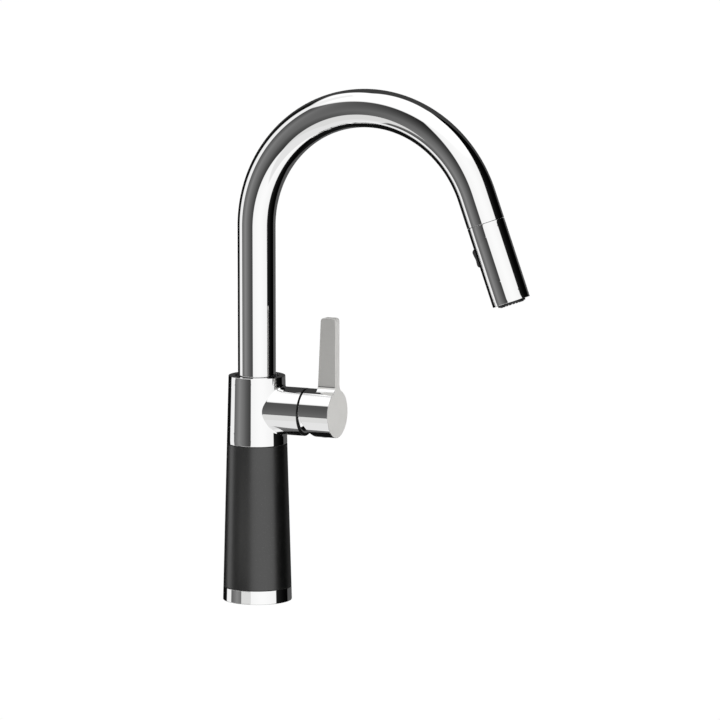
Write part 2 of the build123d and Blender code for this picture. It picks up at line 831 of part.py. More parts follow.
def rocker_plane():
    """The head's middle plane: distance along the outlet, then height towards the column."""
    return Plane(origin=BEND_END, x_dir=OUTLET_DIR, z_dir=(0, 1, 0))


def spray_core():
    pocket_floor = 7.4
    pocket_gap = 1.0
    pin_half = 6.5
    water_r = 4.0
    chamber_r = 9.0
    chamber_start = 66.0
    outline = [
        (CORE_TOP, water_r),
        (CORE_TOP, CORE_R),
        (CORE_END, CORE_R),
        (CORE_END, chamber_r),
        (chamber_start, chamber_r),
        (chamber_start - chamber_r + water_r, water_r),
    ]
    with BuildPart() as core:
        add(turned_head(outline))
        with BuildSketch(rocker_plane()):
            with Locations(((ROCKER_START + ROCKER_END) / 2, (pocket_floor + CORE_R + 1) / 2)):
                Rectangle(ROCKER_END - ROCKER_START + 2 * pocket_gap, CORE_R + 1 - pocket_floor)
        extrude(amount=ROCKER_Y + GAP, both=True, mode=Mode.SUBTRACT)
        with BuildSketch(rocker_plane()):
            with Locations(ROCKER_PIVOT):
                Circle(ROCKER_PIN_R)
        extrude(amount=pin_half, both=True, mode=Mode.SUBTRACT)
    return core.part


def spray_shell():
    lip = EDGE / 2
    outline = [
        (HEAD_TOP, HEAD_BORE_R),
        (HEAD_TOP, SPOUT_R - lip),
        (HEAD_TOP + lip, SPOUT_R),
        (HEAD_END - EDGE, SPOUT_R),
        (HEAD_END, SPOUT_R - EDGE),
        (HEAD_END, HEAD_BORE_R),
    ]
    with BuildPart() as shell:
        add(turned_head(outline))
        with BuildSketch(rocker_plane()):
            with Locations(((ROCKER_START + ROCKER_END) / 2, (HEAD_BORE_R + SPOUT_R) / 2)):
                Rectangle(ROCKER_END - ROCKER_START + 2 * ROCKER_GAP, SPOUT_R)
        extrude(amount=ROCKER_Y + GAP, both=True, mode=Mode.SUBTRACT)
    return shell.part


def toggle_button():
    """A rocker with a high and a low lobe, on a pin across the head."""
    edge_h = 14.4
    high_lobe = (40.9, 17.0)
    waist = (47.0, 16.0)
    low_lobe = (51.7, 16.4)
    with BuildPart() as rocker:
        with BuildSketch(rocker_plane()):
            with BuildLine():
                crown = Spline((ROCKER_START, edge_h), high_lobe, waist, low_lobe, (ROCKER_END, edge_h))
                Polyline(crown @ 1, (ROCKER_END, ROCKER_BASE), (ROCKER_START, ROCKER_BASE), crown @ 0)
            make_face()
            with Locations(ROCKER_PIVOT):
                Circle(ROCKER_PIN_R + DISC_GAP, mode=Mode.SUBTRACT)
        extrude(amount=ROCKER_Y, both=True)
    return rocker.part


def toggle_pin():
    half = 6.4
    with BuildPart() as pin:
        with BuildSketch(rocker_plane()):
            with Locations(ROCKER_PIVOT):
                Circle(ROCKER_PIN_R)
        extrude(amount=half, both=True)
    return pin.part


def nozzle_spots():
    """The centres of the spray nozzles, as x and y on the spray face."""
    return [on_circle(360 * n / NOZZLES, NOZZLE_CIRCLE_R) for n in range(NOZZLES)]


def spray_face():
    rim_end = HEAD_END - 0.5
    outline = [
        (CORE_END, AERATOR_R),
        (CORE_END, HEAD_BORE_R - 0.1),
        (rim_end, HEAD_BORE_R - 0.1),
        (rim_end, FACE_R),
        (FACE_END - EDGE, FACE_R),
        (FACE_END, FACE_R - EDGE),
        (FACE_END, AERATOR_R),
    ]
    with BuildPart() as face:
        add(turned_head(outline))
        with BuildSketch(along(CORE_END)):
            with Locations(*nozzle_spots()):
                Circle(NOZZLE_R)
        extrude(amount=FACE_END - CORE_END, mode=Mode.SUBTRACT)
    return face.part


def spray_nozzles():
    jet_r = 0.35
    start = 80.0
    tip = FACE_END + 0.6
    with BuildPart() as nozzles:
        with BuildSketch(along(start)):
            with Locations(*nozzle_spots()):
                Circle(NOZZLE_R)
                Circle(jet_r, mode=Mode.SUBTRACT)
        extrude(amount=tip - start)
    return nozzles.part


def aerator():
    start = 82.0
    plate = 86.6
    mesh_hole = 1.3
    mesh_pitch = 1.8
    mesh_count = 5
    with BuildPart() as insert:
        with BuildSketch(along(start)):
            Circle(AERATOR_R)
            Circle(AERATOR_R - 0.9, mode=Mode.SUBTRACT)
        extrude(amount=FACE_END - GAP - start)
        with BuildSketch(along(plate)):
            Circle(AERATOR_R)
            with GridLocations(mesh_pitch, mesh_pitch, mesh_count, mesh_count):
                Rectangle(mesh_hole, mesh_hole, mode=Mode.SUBTRACT)
        extrude(amount=-EDGE)
    return insert.part


def save(part, label):
    """Name one finished piece and write it."""
    part.label = label
    export_step(part, f"parts/{label}.step")


os.makedirs("parts", exist_ok=True)
coupling_body, coupling_seals = hose_coupling()
slide_ring_r = TUBE_BORE_R - DISC_GAP
pieces = {
    "base_ring": base_ring(),
    "base_gasket": annulus(level(0), GASKET_R - DISC_GAP, GASKET_BORE_R + DISC_GAP, GASKET_T),
    "foot_plate": foot_plate(),
    "mounting_studs": mounting_studs(),
    "clamp_gasket": horseshoe(CLAMP_TOP, CLAMP_R - 1),
    "clamp_plate": horseshoe(CLAMP_TOP - CLAMP_T, CLAMP_R),
    "clamp_nuts": clamp_nuts(),
    "column_tube": annulus(level(FLANGE_TOP), TUBE_R, TUBE_BORE_R, SHOULDER - FLANGE_TOP),
    "composite_sleeve": composite_sleeve(),
    "sleeve_washers": sleeve_washers(),
    "outlet_pipe": water_pipe(OUTLET_ANGLE),
    "hot_pipe": water_pipe(HOT_ANGLE),
    "cold_pipe": water_pipe(COLD_ANGLE),
    "pipe_seals": pipe_seals(),
    "mixer_body": mixer_body(),
    "spout_thrust_ring": annulus(level(SPOUT_BORE_FLOOR), slide_ring_r, HOSE_R + 1, THRUST_T),
    "spout_slide_ring": annulus(level(SLIDE_Z), slide_ring_r, SPOUT_R + DISC_GAP, SLIDE_H),
    "spout_set_screw": spout_set_screw(),
    "spout_foot": spout_foot(),
    "spout_tube": spout_tube(),
    "docking_collar": docking_collar(),
    "pull_hose": pull_hose(),
    "hose_coupling": coupling_body,
    "coupling_seals": coupling_seals,
    "cartridge_seal": cartridge_seal(),
    "cartridge_base": cartridge_base(),
    "fixed_disc": fixed_disc(),
    "moving_disc": moving_disc(),
    "disc_carrier": disc_carrier(),
    "cartridge_housing": cartridge_housing(),
    "spindle": spindle(),
    "pivot_pin": pivot_pin(),
    "cartridge_nut": cartridge_nut(),
    "dome_cover": dome_cover(),
    "cartridge_stem": cartridge_stem(),
    "lever_handle": lever_handle(),
    "handle_screw": handle_screw(),
    "index_plug": index_plug(),
    "docking_spigot": docking_spigot(),
    "hose_nut": hose_nut(),
    "check_valve": head_insert(VALVE_FLOOR + 0.2, VALVE_END, 3.0),
    "filter_washer": head_insert(VALVE_END, CORE_TOP, 3.6),
    "spray_core": spray_core(),
    "spray_shell": spray_shell(),
    "toggle_button": toggle_button(),
    "toggle_pin": toggle_pin(),
    "spray_face": spray_face(),
    "spray_nozzles": spray_nozzles(),
    "aerator": aerator(),
}
for name, piece in pieces.items():
    save(piece, name)
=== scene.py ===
"""The looks of a tall kitchen mixer tap with a pull down spray head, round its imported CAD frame.

The worktop's face is z = 0, the column's axis is Z, and the spout and the lever point along +X.
"""

from math import asin, atan2, cos, hypot, pi, radians, sin, sqrt

import bmesh
import bpy
import numpy as np
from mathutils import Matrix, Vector


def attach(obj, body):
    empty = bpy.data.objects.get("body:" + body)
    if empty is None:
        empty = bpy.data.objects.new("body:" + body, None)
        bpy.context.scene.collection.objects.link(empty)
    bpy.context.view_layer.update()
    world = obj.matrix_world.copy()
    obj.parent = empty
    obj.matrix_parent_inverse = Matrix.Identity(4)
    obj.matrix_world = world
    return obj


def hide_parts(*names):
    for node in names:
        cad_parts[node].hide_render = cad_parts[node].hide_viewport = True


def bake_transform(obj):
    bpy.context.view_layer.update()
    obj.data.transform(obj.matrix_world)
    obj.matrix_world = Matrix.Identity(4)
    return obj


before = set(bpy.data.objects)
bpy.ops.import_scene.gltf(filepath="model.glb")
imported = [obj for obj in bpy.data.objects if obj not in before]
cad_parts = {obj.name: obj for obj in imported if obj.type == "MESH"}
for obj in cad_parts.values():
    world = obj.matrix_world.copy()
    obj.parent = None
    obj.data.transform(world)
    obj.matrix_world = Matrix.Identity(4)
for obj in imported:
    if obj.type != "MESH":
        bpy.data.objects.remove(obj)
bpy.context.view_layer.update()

# ---------------------------------------------------------------------------------------------
# Studio: a white cove with a large grey card at the left and black cards at the right and behind,
# all soft edged. Polished chrome shows little else, so they set its bands. The worktop is white
# too, and so is a sheet of paper in front of it.
# ---------------------------------------------------------------------------------------------
CAMERA_AZIMUTH = radians(24.755)
CAMERA_ELEVATION = radians(8.402)
CAMERA_AIM = Vector((0.07392, 0.03419, 0.19169))
CAMERA_DISTANCE = 4.6297
LENS_MM = 293.0
SENSOR_MM = 36.0
GAMMA = 2.2
TAP_HOLE_R = 17.5
FLOOR_R = 20000.0
WORKTOP_Z = -0.05
MM = 0.001
MERGE = 0.004 * MM
SHARP = radians(32)


def linear(code):
    """The linear colour of an sRGB hex value: a channel c is ((c + 0.055) / 1.055) to the power 2.4."""
    srgb = np.array([int(code[i:i + 2], 16) for i in (1, 3, 5)]) / 255
    return (*np.where(srgb > 0.04045, ((srgb + 0.055) / 1.055) ** 2.4, srgb / 12.92), 1.0)


def add(tree, kind, inputs=None, **settings):
    """Add one node: settings are its own, and inputs are values, or what feeds it.

    What feeds it is a socket, or a node, which stands for the first output that it has in use.
    """
    made = tree.nodes.new(kind)
    for key, value in settings.items():
        setattr(made, key, value)
    for key, value in (inputs or {}).items():
        if isinstance(value, bpy.types.Node):
            value = next(output for output in value.outputs if output.enabled)
        if isinstance(value, bpy.types.NodeSocket):
            tree.links.new(value, made.inputs[key])
        else:
            made.inputs[key].default_value = value
    return made


def blank(name):
    """A new material and its node tree, with nothing in it yet."""
    made = bpy.data.materials.new(name)
    made.use_nodes = True
    made.node_tree.nodes.clear()
    return made, made.node_tree


def points_at(x, y, z):
    """Points from their three coordinates, which are numbers or arrays that fit one another."""
    return np.stack(np.broadcast_arrays(x, y, z), -1)


def skin(name, *grids):
    """One smooth mesh from grids of points in mm. A grid's rows join up and its columns close round.

    Rows that meet, such as a seam or a pole, are merged, and the faces are turned outwards.
    """
    points, faces, start = [], [], 0
    for grid in grids:
        index = start + np.arange(grid.shape[0] * grid.shape[1]).reshape(grid.shape[:2])
        beside = np.roll(index, -1, axis=1)
        faces.append(np.stack([index[:-1], beside[:-1], beside[1:], index[1:]], -1).reshape(-1, 4))
        points.append(grid.reshape(-1, 3))
        start += index.size
    mesh = bpy.data.meshes.new(name)
    mesh.from_pydata((np.concatenate(points) * MM).tolist(), [], np.concatenate(faces).tolist())
    joined = bmesh.new()
    joined.from_mesh(mesh)
    bmesh.ops.remove_doubles(joined, verts=joined.verts, dist=MERGE)
    bmesh.ops.recalc_face_normals(joined, faces=joined.faces)
    joined.to_mesh(mesh)
    joined.free()
    mesh.shade_smooth()
    mesh.set_sharp_from_angle(angle=SHARP)
    piece = bpy.data.objects.new(name, mesh)
    bpy.context.scene.collection.objects.link(piece)
    return piece


def studio_world():
    """World light by direction, as an azimuth from the camera's side, plus to the right, and an elevation.

    The light starts white, and each card in turn is mixed over it, by how much of the card lies
    that way. All angles are in degrees, and a shade to the power GAMMA is its light.
    """
    world = bpy.data.worlds.new("studio")
    world.use_nodes = True
    tree = world.node_tree
    tree.nodes.clear()
    look = add(tree, "ShaderNodeTexCoord").outputs["Generated"]
    turned = add(tree, "ShaderNodeVectorRotate", {"Vector": look, "Angle": pi / 2 - CAMERA_AZIMUTH},
                 rotation_type="Z_AXIS")
    axes = add(tree, "ShaderNodeSeparateXYZ", {0: turned}).outputs
    bearing = add(tree, "ShaderNodeMath", {0: axes["Y"], 1: axes["X"]}, operation="ARCTAN2")
    azimuth = add(tree, "ShaderNodeMath", {0: bearing, 1: 180 / pi}, operation="MULTIPLY")
    climb = add(tree, "ShaderNodeMath", {0: axes["Z"]}, operation="ARCSINE")
    elevation = add(tree, "ShaderNodeMath", {0: climb, 1: 180 / pi}, operation="MULTIPLY")

    def aside(middle):
        """Degrees away from a middle azimuth, either way round."""
        off = add(tree, "ShaderNodeMath", {0: azimuth, 1: middle}, operation="SUBTRACT")
        off = add(tree, "ShaderNodeMath", {0: off, 1: 180.0, 2: -180.0}, operation="WRAP")
        return add(tree, "ShaderNodeMath", {0: off}, operation="ABSOLUTE")

    def card(left, right, low, high, soft, bottom=elevation):
        """How much of a soft-edged card lies that way: the product of three smooth steps."""
        half = (right - left) / 2
        share = 1.0
        for value, outside, inside in (
                (bottom, low - soft, low + soft), (elevation, high + soft, high - soft),
                (aside((left + right) / 2), half + soft, half - soft)):
            step = add(tree, "ShaderNodeMapRange", {"Value": value, "From Min": outside, "From Max": inside},
                       interpolation_type="SMOOTHSTEP")
            share = add(tree, "ShaderNodeMath", {0: share, 1: step}, operation="MULTIPLY")
        return share

    # The grey card's shade is 0.55 at its middle, 72 left and 8 down, and falls off 0.006 a degree
    # across and 0.0028 up and down, to 0.15. Its lower edge slants down 0.5 a degree to the left
    across = add(tree, "ShaderNodeMath", {0: aside(-72.0), 1: 0.0060}, operation="MULTIPLY")
    up = add(tree, "ShaderNodeMath", {0: elevation, 1: 8.0}, operation="ADD")
    up = add(tree, "ShaderNodeMath", {0: up}, operation="ABSOLUTE")
    fall = add(tree, "ShaderNodeMath", {0: up, 1: 0.0028, 2: across}, operation="MULTIPLY_ADD")
    grey = add(tree, "ShaderNodeMath", {0: 0.55, 1: fall}, operation="SUBTRACT")
    grey = add(tree, "ShaderNodeMath", {0: grey, 1: 0.15}, operation="MAXIMUM")
    grey = add(tree, "ShaderNodeMath", {0: grey, 1: GAMMA}, operation="POWER")
    leftward = add(tree, "ShaderNodeMath", {0: -50.0, 1: azimuth}, operation="SUBTRACT")
    leftward = add(tree, "ShaderNodeMath", {0: leftward, 1: 0.0}, operation="MAXIMUM")
    slanted = add(tree, "ShaderNodeMath", {0: leftward, 1: 0.5, 2: elevation}, operation="MULTIPLY_ADD")

    # The black flag at the right darkens from 0.17 to 0.05 at its far side. Its near edge leans away
    # above 17 degrees, by 0.026 of the square of what is above
    flag = add(tree, "ShaderNodeMapRange", {"Value": azimuth, "From Min": 50.0, "From Max": 115.0,
                                           "To Min": 0.17, "To Max": 0.05}, interpolation_type="SMOOTHSTEP")
    flag = add(tree, "ShaderNodeMath", {0: flag, 1: GAMMA}, operation="POWER")
    rise = add(tree, "ShaderNodeMath", {0: elevation, 1: 17.0}, operation="SUBTRACT")
    rise = add(tree, "ShaderNodeMath", {0: rise, 1: 0.0}, operation="MAXIMUM")
    lean = add(tree, "ShaderNodeMath", {0: rise, 1: rise}, operation="MULTIPLY")
    lean = add(tree, "ShaderNodeMath", {0: lean, 1: 0.026}, operation="MULTIPLY")
    curved = add(tree, "ShaderNodeMath", {0: azimuth, 1: lean}, operation="SUBTRACT")
    near_edge = add(tree, "ShaderNodeMapRange", {"Value": curved, "From Min": 65.5, "From Max": 67.5},
                    interpolation_type="SMOOTHSTEP")
    flag_share = add(tree, "ShaderNodeMath", {0: near_edge, 1: card(20, 140, -95, 62, 1.5)},
                     operation="MULTIPLY")

    # The cove is a little brighter round an azimuth of 18, and brightest overhead
    light = add(tree, "ShaderNodeMapRange", {"Value": aside(18.0), "From Min": 0.0, "From Max": 50.0,
                                            "To Min": 1.065, "To Max": 1.0}, interpolation_type="SMOOTHSTEP")
    ceiling = add(tree, "ShaderNodeMapRange", {"Value": elevation, "From Min": 38.0, "From Max": 50.0},
                  interpolation_type="SMOOTHSTEP")
    camera_sees = add(tree, "ShaderNodeLightPath").outputs["Is Camera Ray"]
    for shade, share in (
            (1.2, ceiling),
            (0.85, card(-125, 20, -95, -34, 2)),                      # the cove's floor
            (0.97, card(-124, -96, -90, 60, 1)),                      # a white board at the far left
            (grey, card(-98.5, -23.3, -32, 38.5, 1.5, slanted)),
            (flag, flag_share),
            (0.006, card(-180, -124, -80, 40, 2)),                    # black cards behind, left and right
            (0.006, card(130, 182, -95, -42, 2)),
            (0.10, card(123, 182, -44, 6, 2)),
            (0.05, card(138, 209, 4, 64, 3)),
            (1.0, camera_sees)):
        light = add(tree, "ShaderNodeMix", {"Factor": share, "A": light, "B": shade}, data_type="FLOAT")
    background = add(tree, "ShaderNodeBackground", {"Strength": 1.0, "Color": light})
    add(tree, "ShaderNodeOutputWorld", {"Surface": background})
    return world


bpy.context.scene.world = studio_world()
bpy.context.scene.view_settings.view_transform = "Standard"

lens = bpy.data.cameras.new("camera")
lens.lens = LENS_MM
lens.sensor_width = SENSOR_MM
lens.clip_start = 0.1
lens.clip_end = 50.0
camera = bpy.data.objects.new("camera", lens)
back = Vector((sin(CAMERA_AZIMUTH) * cos(CAMERA_ELEVATION),
               -cos(CAMERA_AZIMUTH) * cos(CAMERA_ELEVATION), sin(CAMERA_ELEVATION)))
camera.location = CAMERA_AIM + back * CAMERA_DISTANCE
camera.rotation_mode = "QUATERNION"
camera.rotation_quaternion = (-back).to_track_quat("-Z", "Y")
bpy.context.scene.collection.objects.link(camera)
bpy.context.scene.camera = camera


def lit_white(name, colour, scale, low, high):
    """A white that glows evenly: its strength varies from low to high with noise on Object coordinates."""
    made, tree = blank(name)
    at = add(tree, "ShaderNodeTexCoord").outputs["Object"]
    fibre = add(tree, "ShaderNodeTexNoise", {"Vector": at, "Scale": scale, "Detail": 2.0})
    faint = add(tree, "ShaderNodeMapRange", {"Value": fibre, "To Min": low, "To Max": high})
    glow = add(tree, "ShaderNodeEmission", {"Color": linear(colour), "Strength": faint})
    add(tree, "ShaderNodeOutputMaterial", {"Surface": glow})
    return made


# A white worktop with the tap's hole, a hair below the ring and lit so evenly that it has no
# shadow. Solid surface is a filled resin, so a grain of about 1 mm barely shows in it
angles = np.linspace(0, 2 * pi, 96, endpoint=False)
reach = np.array([TAP_HOLE_R, 60.0, 400.0, FLOOR_R])[:, None]
worktop = skin("worktop", points_at(reach * np.cos(angles), reach * np.sin(angles), WORKTOP_Z))
worktop.data.materials.append(lit_white("white_solid_surface", "#ffffff", 900.0, 1.0, 1.02))
worktop.visible_glossy = False


def paper_strip(left, right, near, far, low, high):
    """A strip of paper: the rectangle from near to far and low to high, swept round from left to right."""
    bearing = CAMERA_AZIMUTH - pi / 2 - np.radians(np.linspace(left, right, 25))[:, None]
    out, up = np.array([near, far, far, near]), np.array([high, high, low, low])
    return points_at(out * np.cos(bearing), out * np.sin(bearing), up)


# White paper round the front of the tap, flat and then turned down over the worktop's edge. Only the
# chrome sees it, below the grey card. Its fibres clump about 3 mm wide
sheet = skin("studio_white_sheet", paper_strip(64, 20, 200.0, 600.0, 0.0, 0.2),
             paper_strip(54, 21, 600.0, 600.2, -95.0, -66.0))
sheet.data.materials.append(lit_white("white_paper", "#e4e4e3", 300.0, 0.99, 1.01))
sheet.visible_camera = False
sheet.visible_diffuse = False
sheet.visible_shadow = False

# ---------------------------------------------------------------------------------------------
# Foot ring: the turned brass ring that the column stands on, chrome plated and polished.
# Plating is a mirror: what the eye gets is its bands, with a trace of polishing marks.
# ---------------------------------------------------------------------------------------------
CONE_R = 27.35
CONE_TAPER = 0.027
RING_TOP = 10.7
ARC_Z = 298.3
ARC_R = 97.5
BEND = radians(160)
BEND_S = ARC_Z + ARC_R * BEND
TURNS = 160
ARC_POINTS = 7
FLAT_HOLD = 0.08


def cone(z):
    """The column's outside radius: it falls by the taper with height."""
    return CONE_R - CONE_TAPER * z


def place(s, r, a):
    """Points r out from the tap's centre line, s along it and turned by a from its inner side.

    The line is the column's axis, then the spout's bend of radius ARC_R, then straight again.
    """
    t = np.clip((s - ARC_Z) / ARC_R, 0, BEND)
    past = np.maximum(s - BEND_S, 0)
    x = ARC_R * (1 - np.cos(t)) + past * np.sin(t) + r * np.cos(a) * np.cos(t)
    z = np.minimum(s, ARC_Z) + ARC_R * np.sin(t) + past * np.cos(t) - r * np.cos(a) * np.sin(t)
    return points_at(x, r * np.sin(a), z)


def outline(*corners):
    """A closed outline from corners given as along, out and radius. Each corner becomes an arc.

    An arc's points are centre + (sin((1-t)w) a + sin(tw) b) / sin w, from leg a to leg b, w apart.
    A point close before and after each arc keeps the flats between them flat.
    """
    spots = np.array([corner[:2] for corner in corners], float)
    radii = [corner[2] for corner in corners]
    path = []
    for here, before, after, radius in zip(spots, np.roll(spots, 1, 0), np.roll(spots, -1, 0), radii):
        if radius == 0:
            path.append(here)
            continue
        to_before, to_after = before - here, after - here
        run_in, run_out = hypot(*to_before), hypot(*to_after)
        to_before, to_after = to_before / run_in, to_after / run_out
        half = np.arccos(np.dot(to_before, to_after)) / 2
        tangent = radius / np.tan(half)
        middle = here + (to_before + to_after) / hypot(*(to_before + to_after)) * radius / sin(half)
        a, b = here + to_before * tangent - middle, here + to_after * tangent - middle
        w = pi - 2 * half
        t = np.linspace(0, 1, ARC_POINTS)[:, None]
        path.append(here + to_before * (tangent + min(FLAT_HOLD, run_in / 5)))
        path.extend(middle + (np.sin((1 - t) * w) * a + np.sin(t * w) * b) / sin(w))
        path.append(here + to_after * (tangent + min(FLAT_HOLD, run_out / 5)))
    return np.array(path)


def turned(name, path, where=place, turns=TURNS):
    """A surface of turning: a closed path's points go round the centre line, by where(s, r, a)."""
    path = np.vstack([path, path[:1]])
    around = np.linspace(0, 2 * pi, turns, endpoint=False)
    return skin(name, where(path[:, :1], path[:, 1:], around[None]))


def finish(name, colour, rough, metallic=0.0, grain=0.5, spread=0.02, bump=0.0, tint=None, wear=4.0,
           stretch=(1, 1, 1)):
    """A principled material whose roughness, colour and height vary with noise on Object coordinates.

    grain is the fine noise's size in mm, wear the coarse one's. spread is how far roughness varies,
    bump the height in mm, and tint the second colour that the coarse noise brings in.
    """
    made, tree = blank(name)
    at = add(tree, "ShaderNodeTexCoord").outputs["Object"]
    at = add(tree, "ShaderNodeMapping", {"Vector": at, "Scale": stretch})
    fine = add(tree, "ShaderNodeTexNoise", {"Vector": at, "Scale": 1000 / grain, "Detail": 3.0})
    coarse = add(tree, "ShaderNodeTexNoise", {"Vector": at, "Scale": 1000 / wear, "Detail": 4.0})
    # Two noises add up to about 1, and seldom leave 0.7 to 1.3
    both = add(tree, "ShaderNodeMath", {0: fine, 1: coarse}, operation="ADD")
    uneven = add(tree, "ShaderNodeMapRange", {"Value": both, "From Min": 0.7, "From Max": 1.3,
                                             "To Min": max(rough - spread, 0.0), "To Max": rough + spread})
    sockets = {"Base Color": linear(colour), "Metallic": metallic, "Roughness": uneven}
    if tint:
        sockets["Base Color"] = add(tree, "ShaderNodeMix", {
            "Factor": coarse, "A": linear(colour), "B": linear(tint)}, data_type="RGBA")
    if bump:
        sockets["Normal"] = add(tree, "ShaderNodeBump", {
            "Height": fine, "Strength": 1.0, "Distance": bump * MM})
    shader = add(tree, "ShaderNodeBsdfPrincipled", sockets)
    add(tree, "ShaderNodeOutputMaterial", {"Surface": shader})
    return made


def stands_for(piece, material, body, slot, *nodes):
    """A finished piece: its material, the body it rides and the CAD nodes it stands for. The slot is not
    used.
    """
    piece.data.materials.append(material)
    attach(piece, body)
    if nodes:
        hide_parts(*nodes)


# Polished chrome plate: a near mirror, with hazy water marks about 9 mm wide
polished_chrome = finish("polished_chrome_plate", "#f4f4f4", 0.016, 1.0, grain=0.6, spread=0.01, wear=9.0)
base_ring = turned("base_ring_turned", outline(
    (0, 18.5, 0.2), (0, cone(0), 0.45), (RING_TOP, cone(RING_TOP), 0.35), (RING_TOP, 20.5, 0.1),
    (5.3, 20.5, 0.1), (5.3, 18.5, 0.1)))
stands_for(base_ring, polished_chrome, "mixer", "chrome", "base_ring")

# ---------------------------------------------------------------------------------------------
# Sleeve: the black grip round the column, moulded in a mineral filled composite and left matt.
# Quartz grains in it give a faint sparkle; thin dark washers stand between it and the chrome.
# ---------------------------------------------------------------------------------------------
SLEEVE_BOTTOM = 11.2
SLEEVE_TOP = 125.2
WASHER = 0.5
WASHER_BORE_R = 20.5
GRIT = 0.45


def quartz_composite():
    """Matt black composite: grit as voronoi cells, a few of them pale, over a fine moulded grain.

    The grit is drawn coarser than the real one, so that it shows, and the haze is about 18 mm wide.
    """
    made, tree = blank("matt_black_quartz_composite")
    at = add(tree, "ShaderNodeTexCoord").outputs["Object"]
    cells = add(tree, "ShaderNodeTexVoronoi", {"Vector": at, "Scale": 1000 / GRIT}).outputs["Color"]
    pick = add(tree, "ShaderNodeSeparateColor", {"Color": cells})
    pale = add(tree, "ShaderNodeMapRange", {"Value": pick, "From Min": 0.965, "From Max": 1.0})
    haze = add(tree, "ShaderNodeTexNoise", {"Vector": at, "Scale": 55.0, "Detail": 5.0})
    base = add(tree, "ShaderNodeMix", {"Factor": haze, "A": linear("#050505"), "B": linear("#0a0a09")},
               data_type="RGBA")
    colour = add(tree, "ShaderNodeMix", {"Factor": pale, "A": base, "B": linear("#343433")}, data_type="RGBA")
    rough = add(tree, "ShaderNodeMapRange", {"Value": haze, "From Min": 0.3, "From Max": 0.7,
                                            "To Min": 0.31, "To Max": 0.35})
    grain = add(tree, "ShaderNodeTexNoise", {"Vector": at, "Scale": 1000 / GRIT, "Detail": 2.0})
    height = add(tree, "ShaderNodeBump", {"Height": grain, "Strength": 0.3, "Distance": 0.008 * MM})
    shader = add(tree, "ShaderNodeBsdfPrincipled", {
        "Base Color": colour, "Roughness": rough, "Normal": height, "IOR": 1.6, "Specular IOR Level": 0.87})
    add(tree, "ShaderNodeOutputMaterial", {"Surface": shader})
    return made


sleeve = turned("composite_sleeve_moulded", outline(
    (SLEEVE_BOTTOM, 20.3, 0.1), (SLEEVE_BOTTOM, cone(SLEEVE_BOTTOM), 0.25),
    (SLEEVE_TOP, cone(SLEEVE_TOP), 0.25), (SLEEVE_TOP, 20.3, 0.1)))
stands_for(sleeve, quartz_composite(), "mixer", "black_composite", "composite_sleeve")

# Nitrile rubber: dull black with a dusty bloom
black_rubber = finish("black_nitrile_rubber", "#161616", 0.75, grain=0.25, spread=0.08, bump=0.01,
                      tint="#222120")
for label, low in (("lower", RING_TOP), ("upper", SLEEVE_TOP)):
    high, edge = low + WASHER, cone(low) - WASHER
    washer = turned(f"sleeve_washer_{label}", outline(
        (low, WASHER_BORE_R, 0.1), (low, edge, 0.1), (high, edge, 0.1), (high, WASHER_BORE_R, 0.1)))
    stands_for(washer, black_rubber, "mixer", "rubber", "sleeve_washers")

# ---------------------------------------------------------------------------------------------
# Mixer body: one brass casting, a cone with the lever's housing standing out of its front. They
# meet in a small rolled fillet. It is ground, polished and chrome plated with the ring below.
# ---------------------------------------------------------------------------------------------
BODY_BOTTOM = 125.7
BODY_TOP = 179.8
HUB_Z = 153.0
HOUSING_R = 19.0
FILLET = 2.0
LIP_X = 43.4
# The painted shade inside the housing's mouth starts at this x
GAP_SHADE_FROM_X = 24.0
SIDE = 56
SCREW_Z = 160.0
SCREW_R = 2.0
SCREW_HOLE_X = (-22.75, -18.0)
CHAMFER = 0.25
SPREAD = 1.2
PATCH_ROWS = 16


def hub(x, r, a):
    """Points r out from the lever's axis at x, turned by a from the +Y side."""
    return points_at(x, r * np.cos(a), HUB_Z + r * np.sin(a))


def frame_points(middle, half, low, high, side=SIDE):
    """Points evenly round a rectangle of turn and height, the same number on each of its sides."""
    step = np.arange(side) / side
    turn = np.concatenate([2 * step - 1, np.ones(side), 1 - 2 * step, -np.ones(side)])
    rise = np.concatenate([np.zeros(side), step, np.ones(side), 1 - step])
    return middle + turn * half, low + rise * (high - low)


def patch(edge, hole, radius, rows):
    """Rings from a rectangle's edge to a hole's edge, both as turn and height, on one round surface.

    Each ring is edge + (hole - edge) u, with u closer together towards the hole.
    """
    u = (1 - (1 - np.linspace(0, 1, rows)) ** 1.5)[:, None]
    turn = edge[0] + (hole[0] - edge[0]) * u
    height = edge[1] + (hole[1] - edge[1]) * u
    return place(height, radius(height), turn)


# The body's own outline: the bore for the spout's foot, the floor with its hole for the hose, and
# the skirt that stands inside the sleeve
body_path = outline(
    (BODY_TOP, cone(BODY_TOP), 0.45), (BODY_TOP, 17.5, 0.3), (148.0, 17.5, 0.3), (148.0, 7.0, 0.3),
    (112.0, 7.0, 0.3), (112.0, 17.4, 0.3), (122.0, 17.4, 0.1), (122.0, 20.0, 0.1),
    (BODY_BOTTOM, 20.0, 0.1), (BODY_BOTTOM, cone(BODY_BOTTOM), 0.3))
cone_top, cone_bottom = body_path[0, 0], body_path[-1, 0]
around = np.linspace(-pi / 2, 3 * pi / 2, 2 * SIDE, endpoint=False)
rest_of_body = place(body_path[:, :1], body_path[:, 1:], around[None])

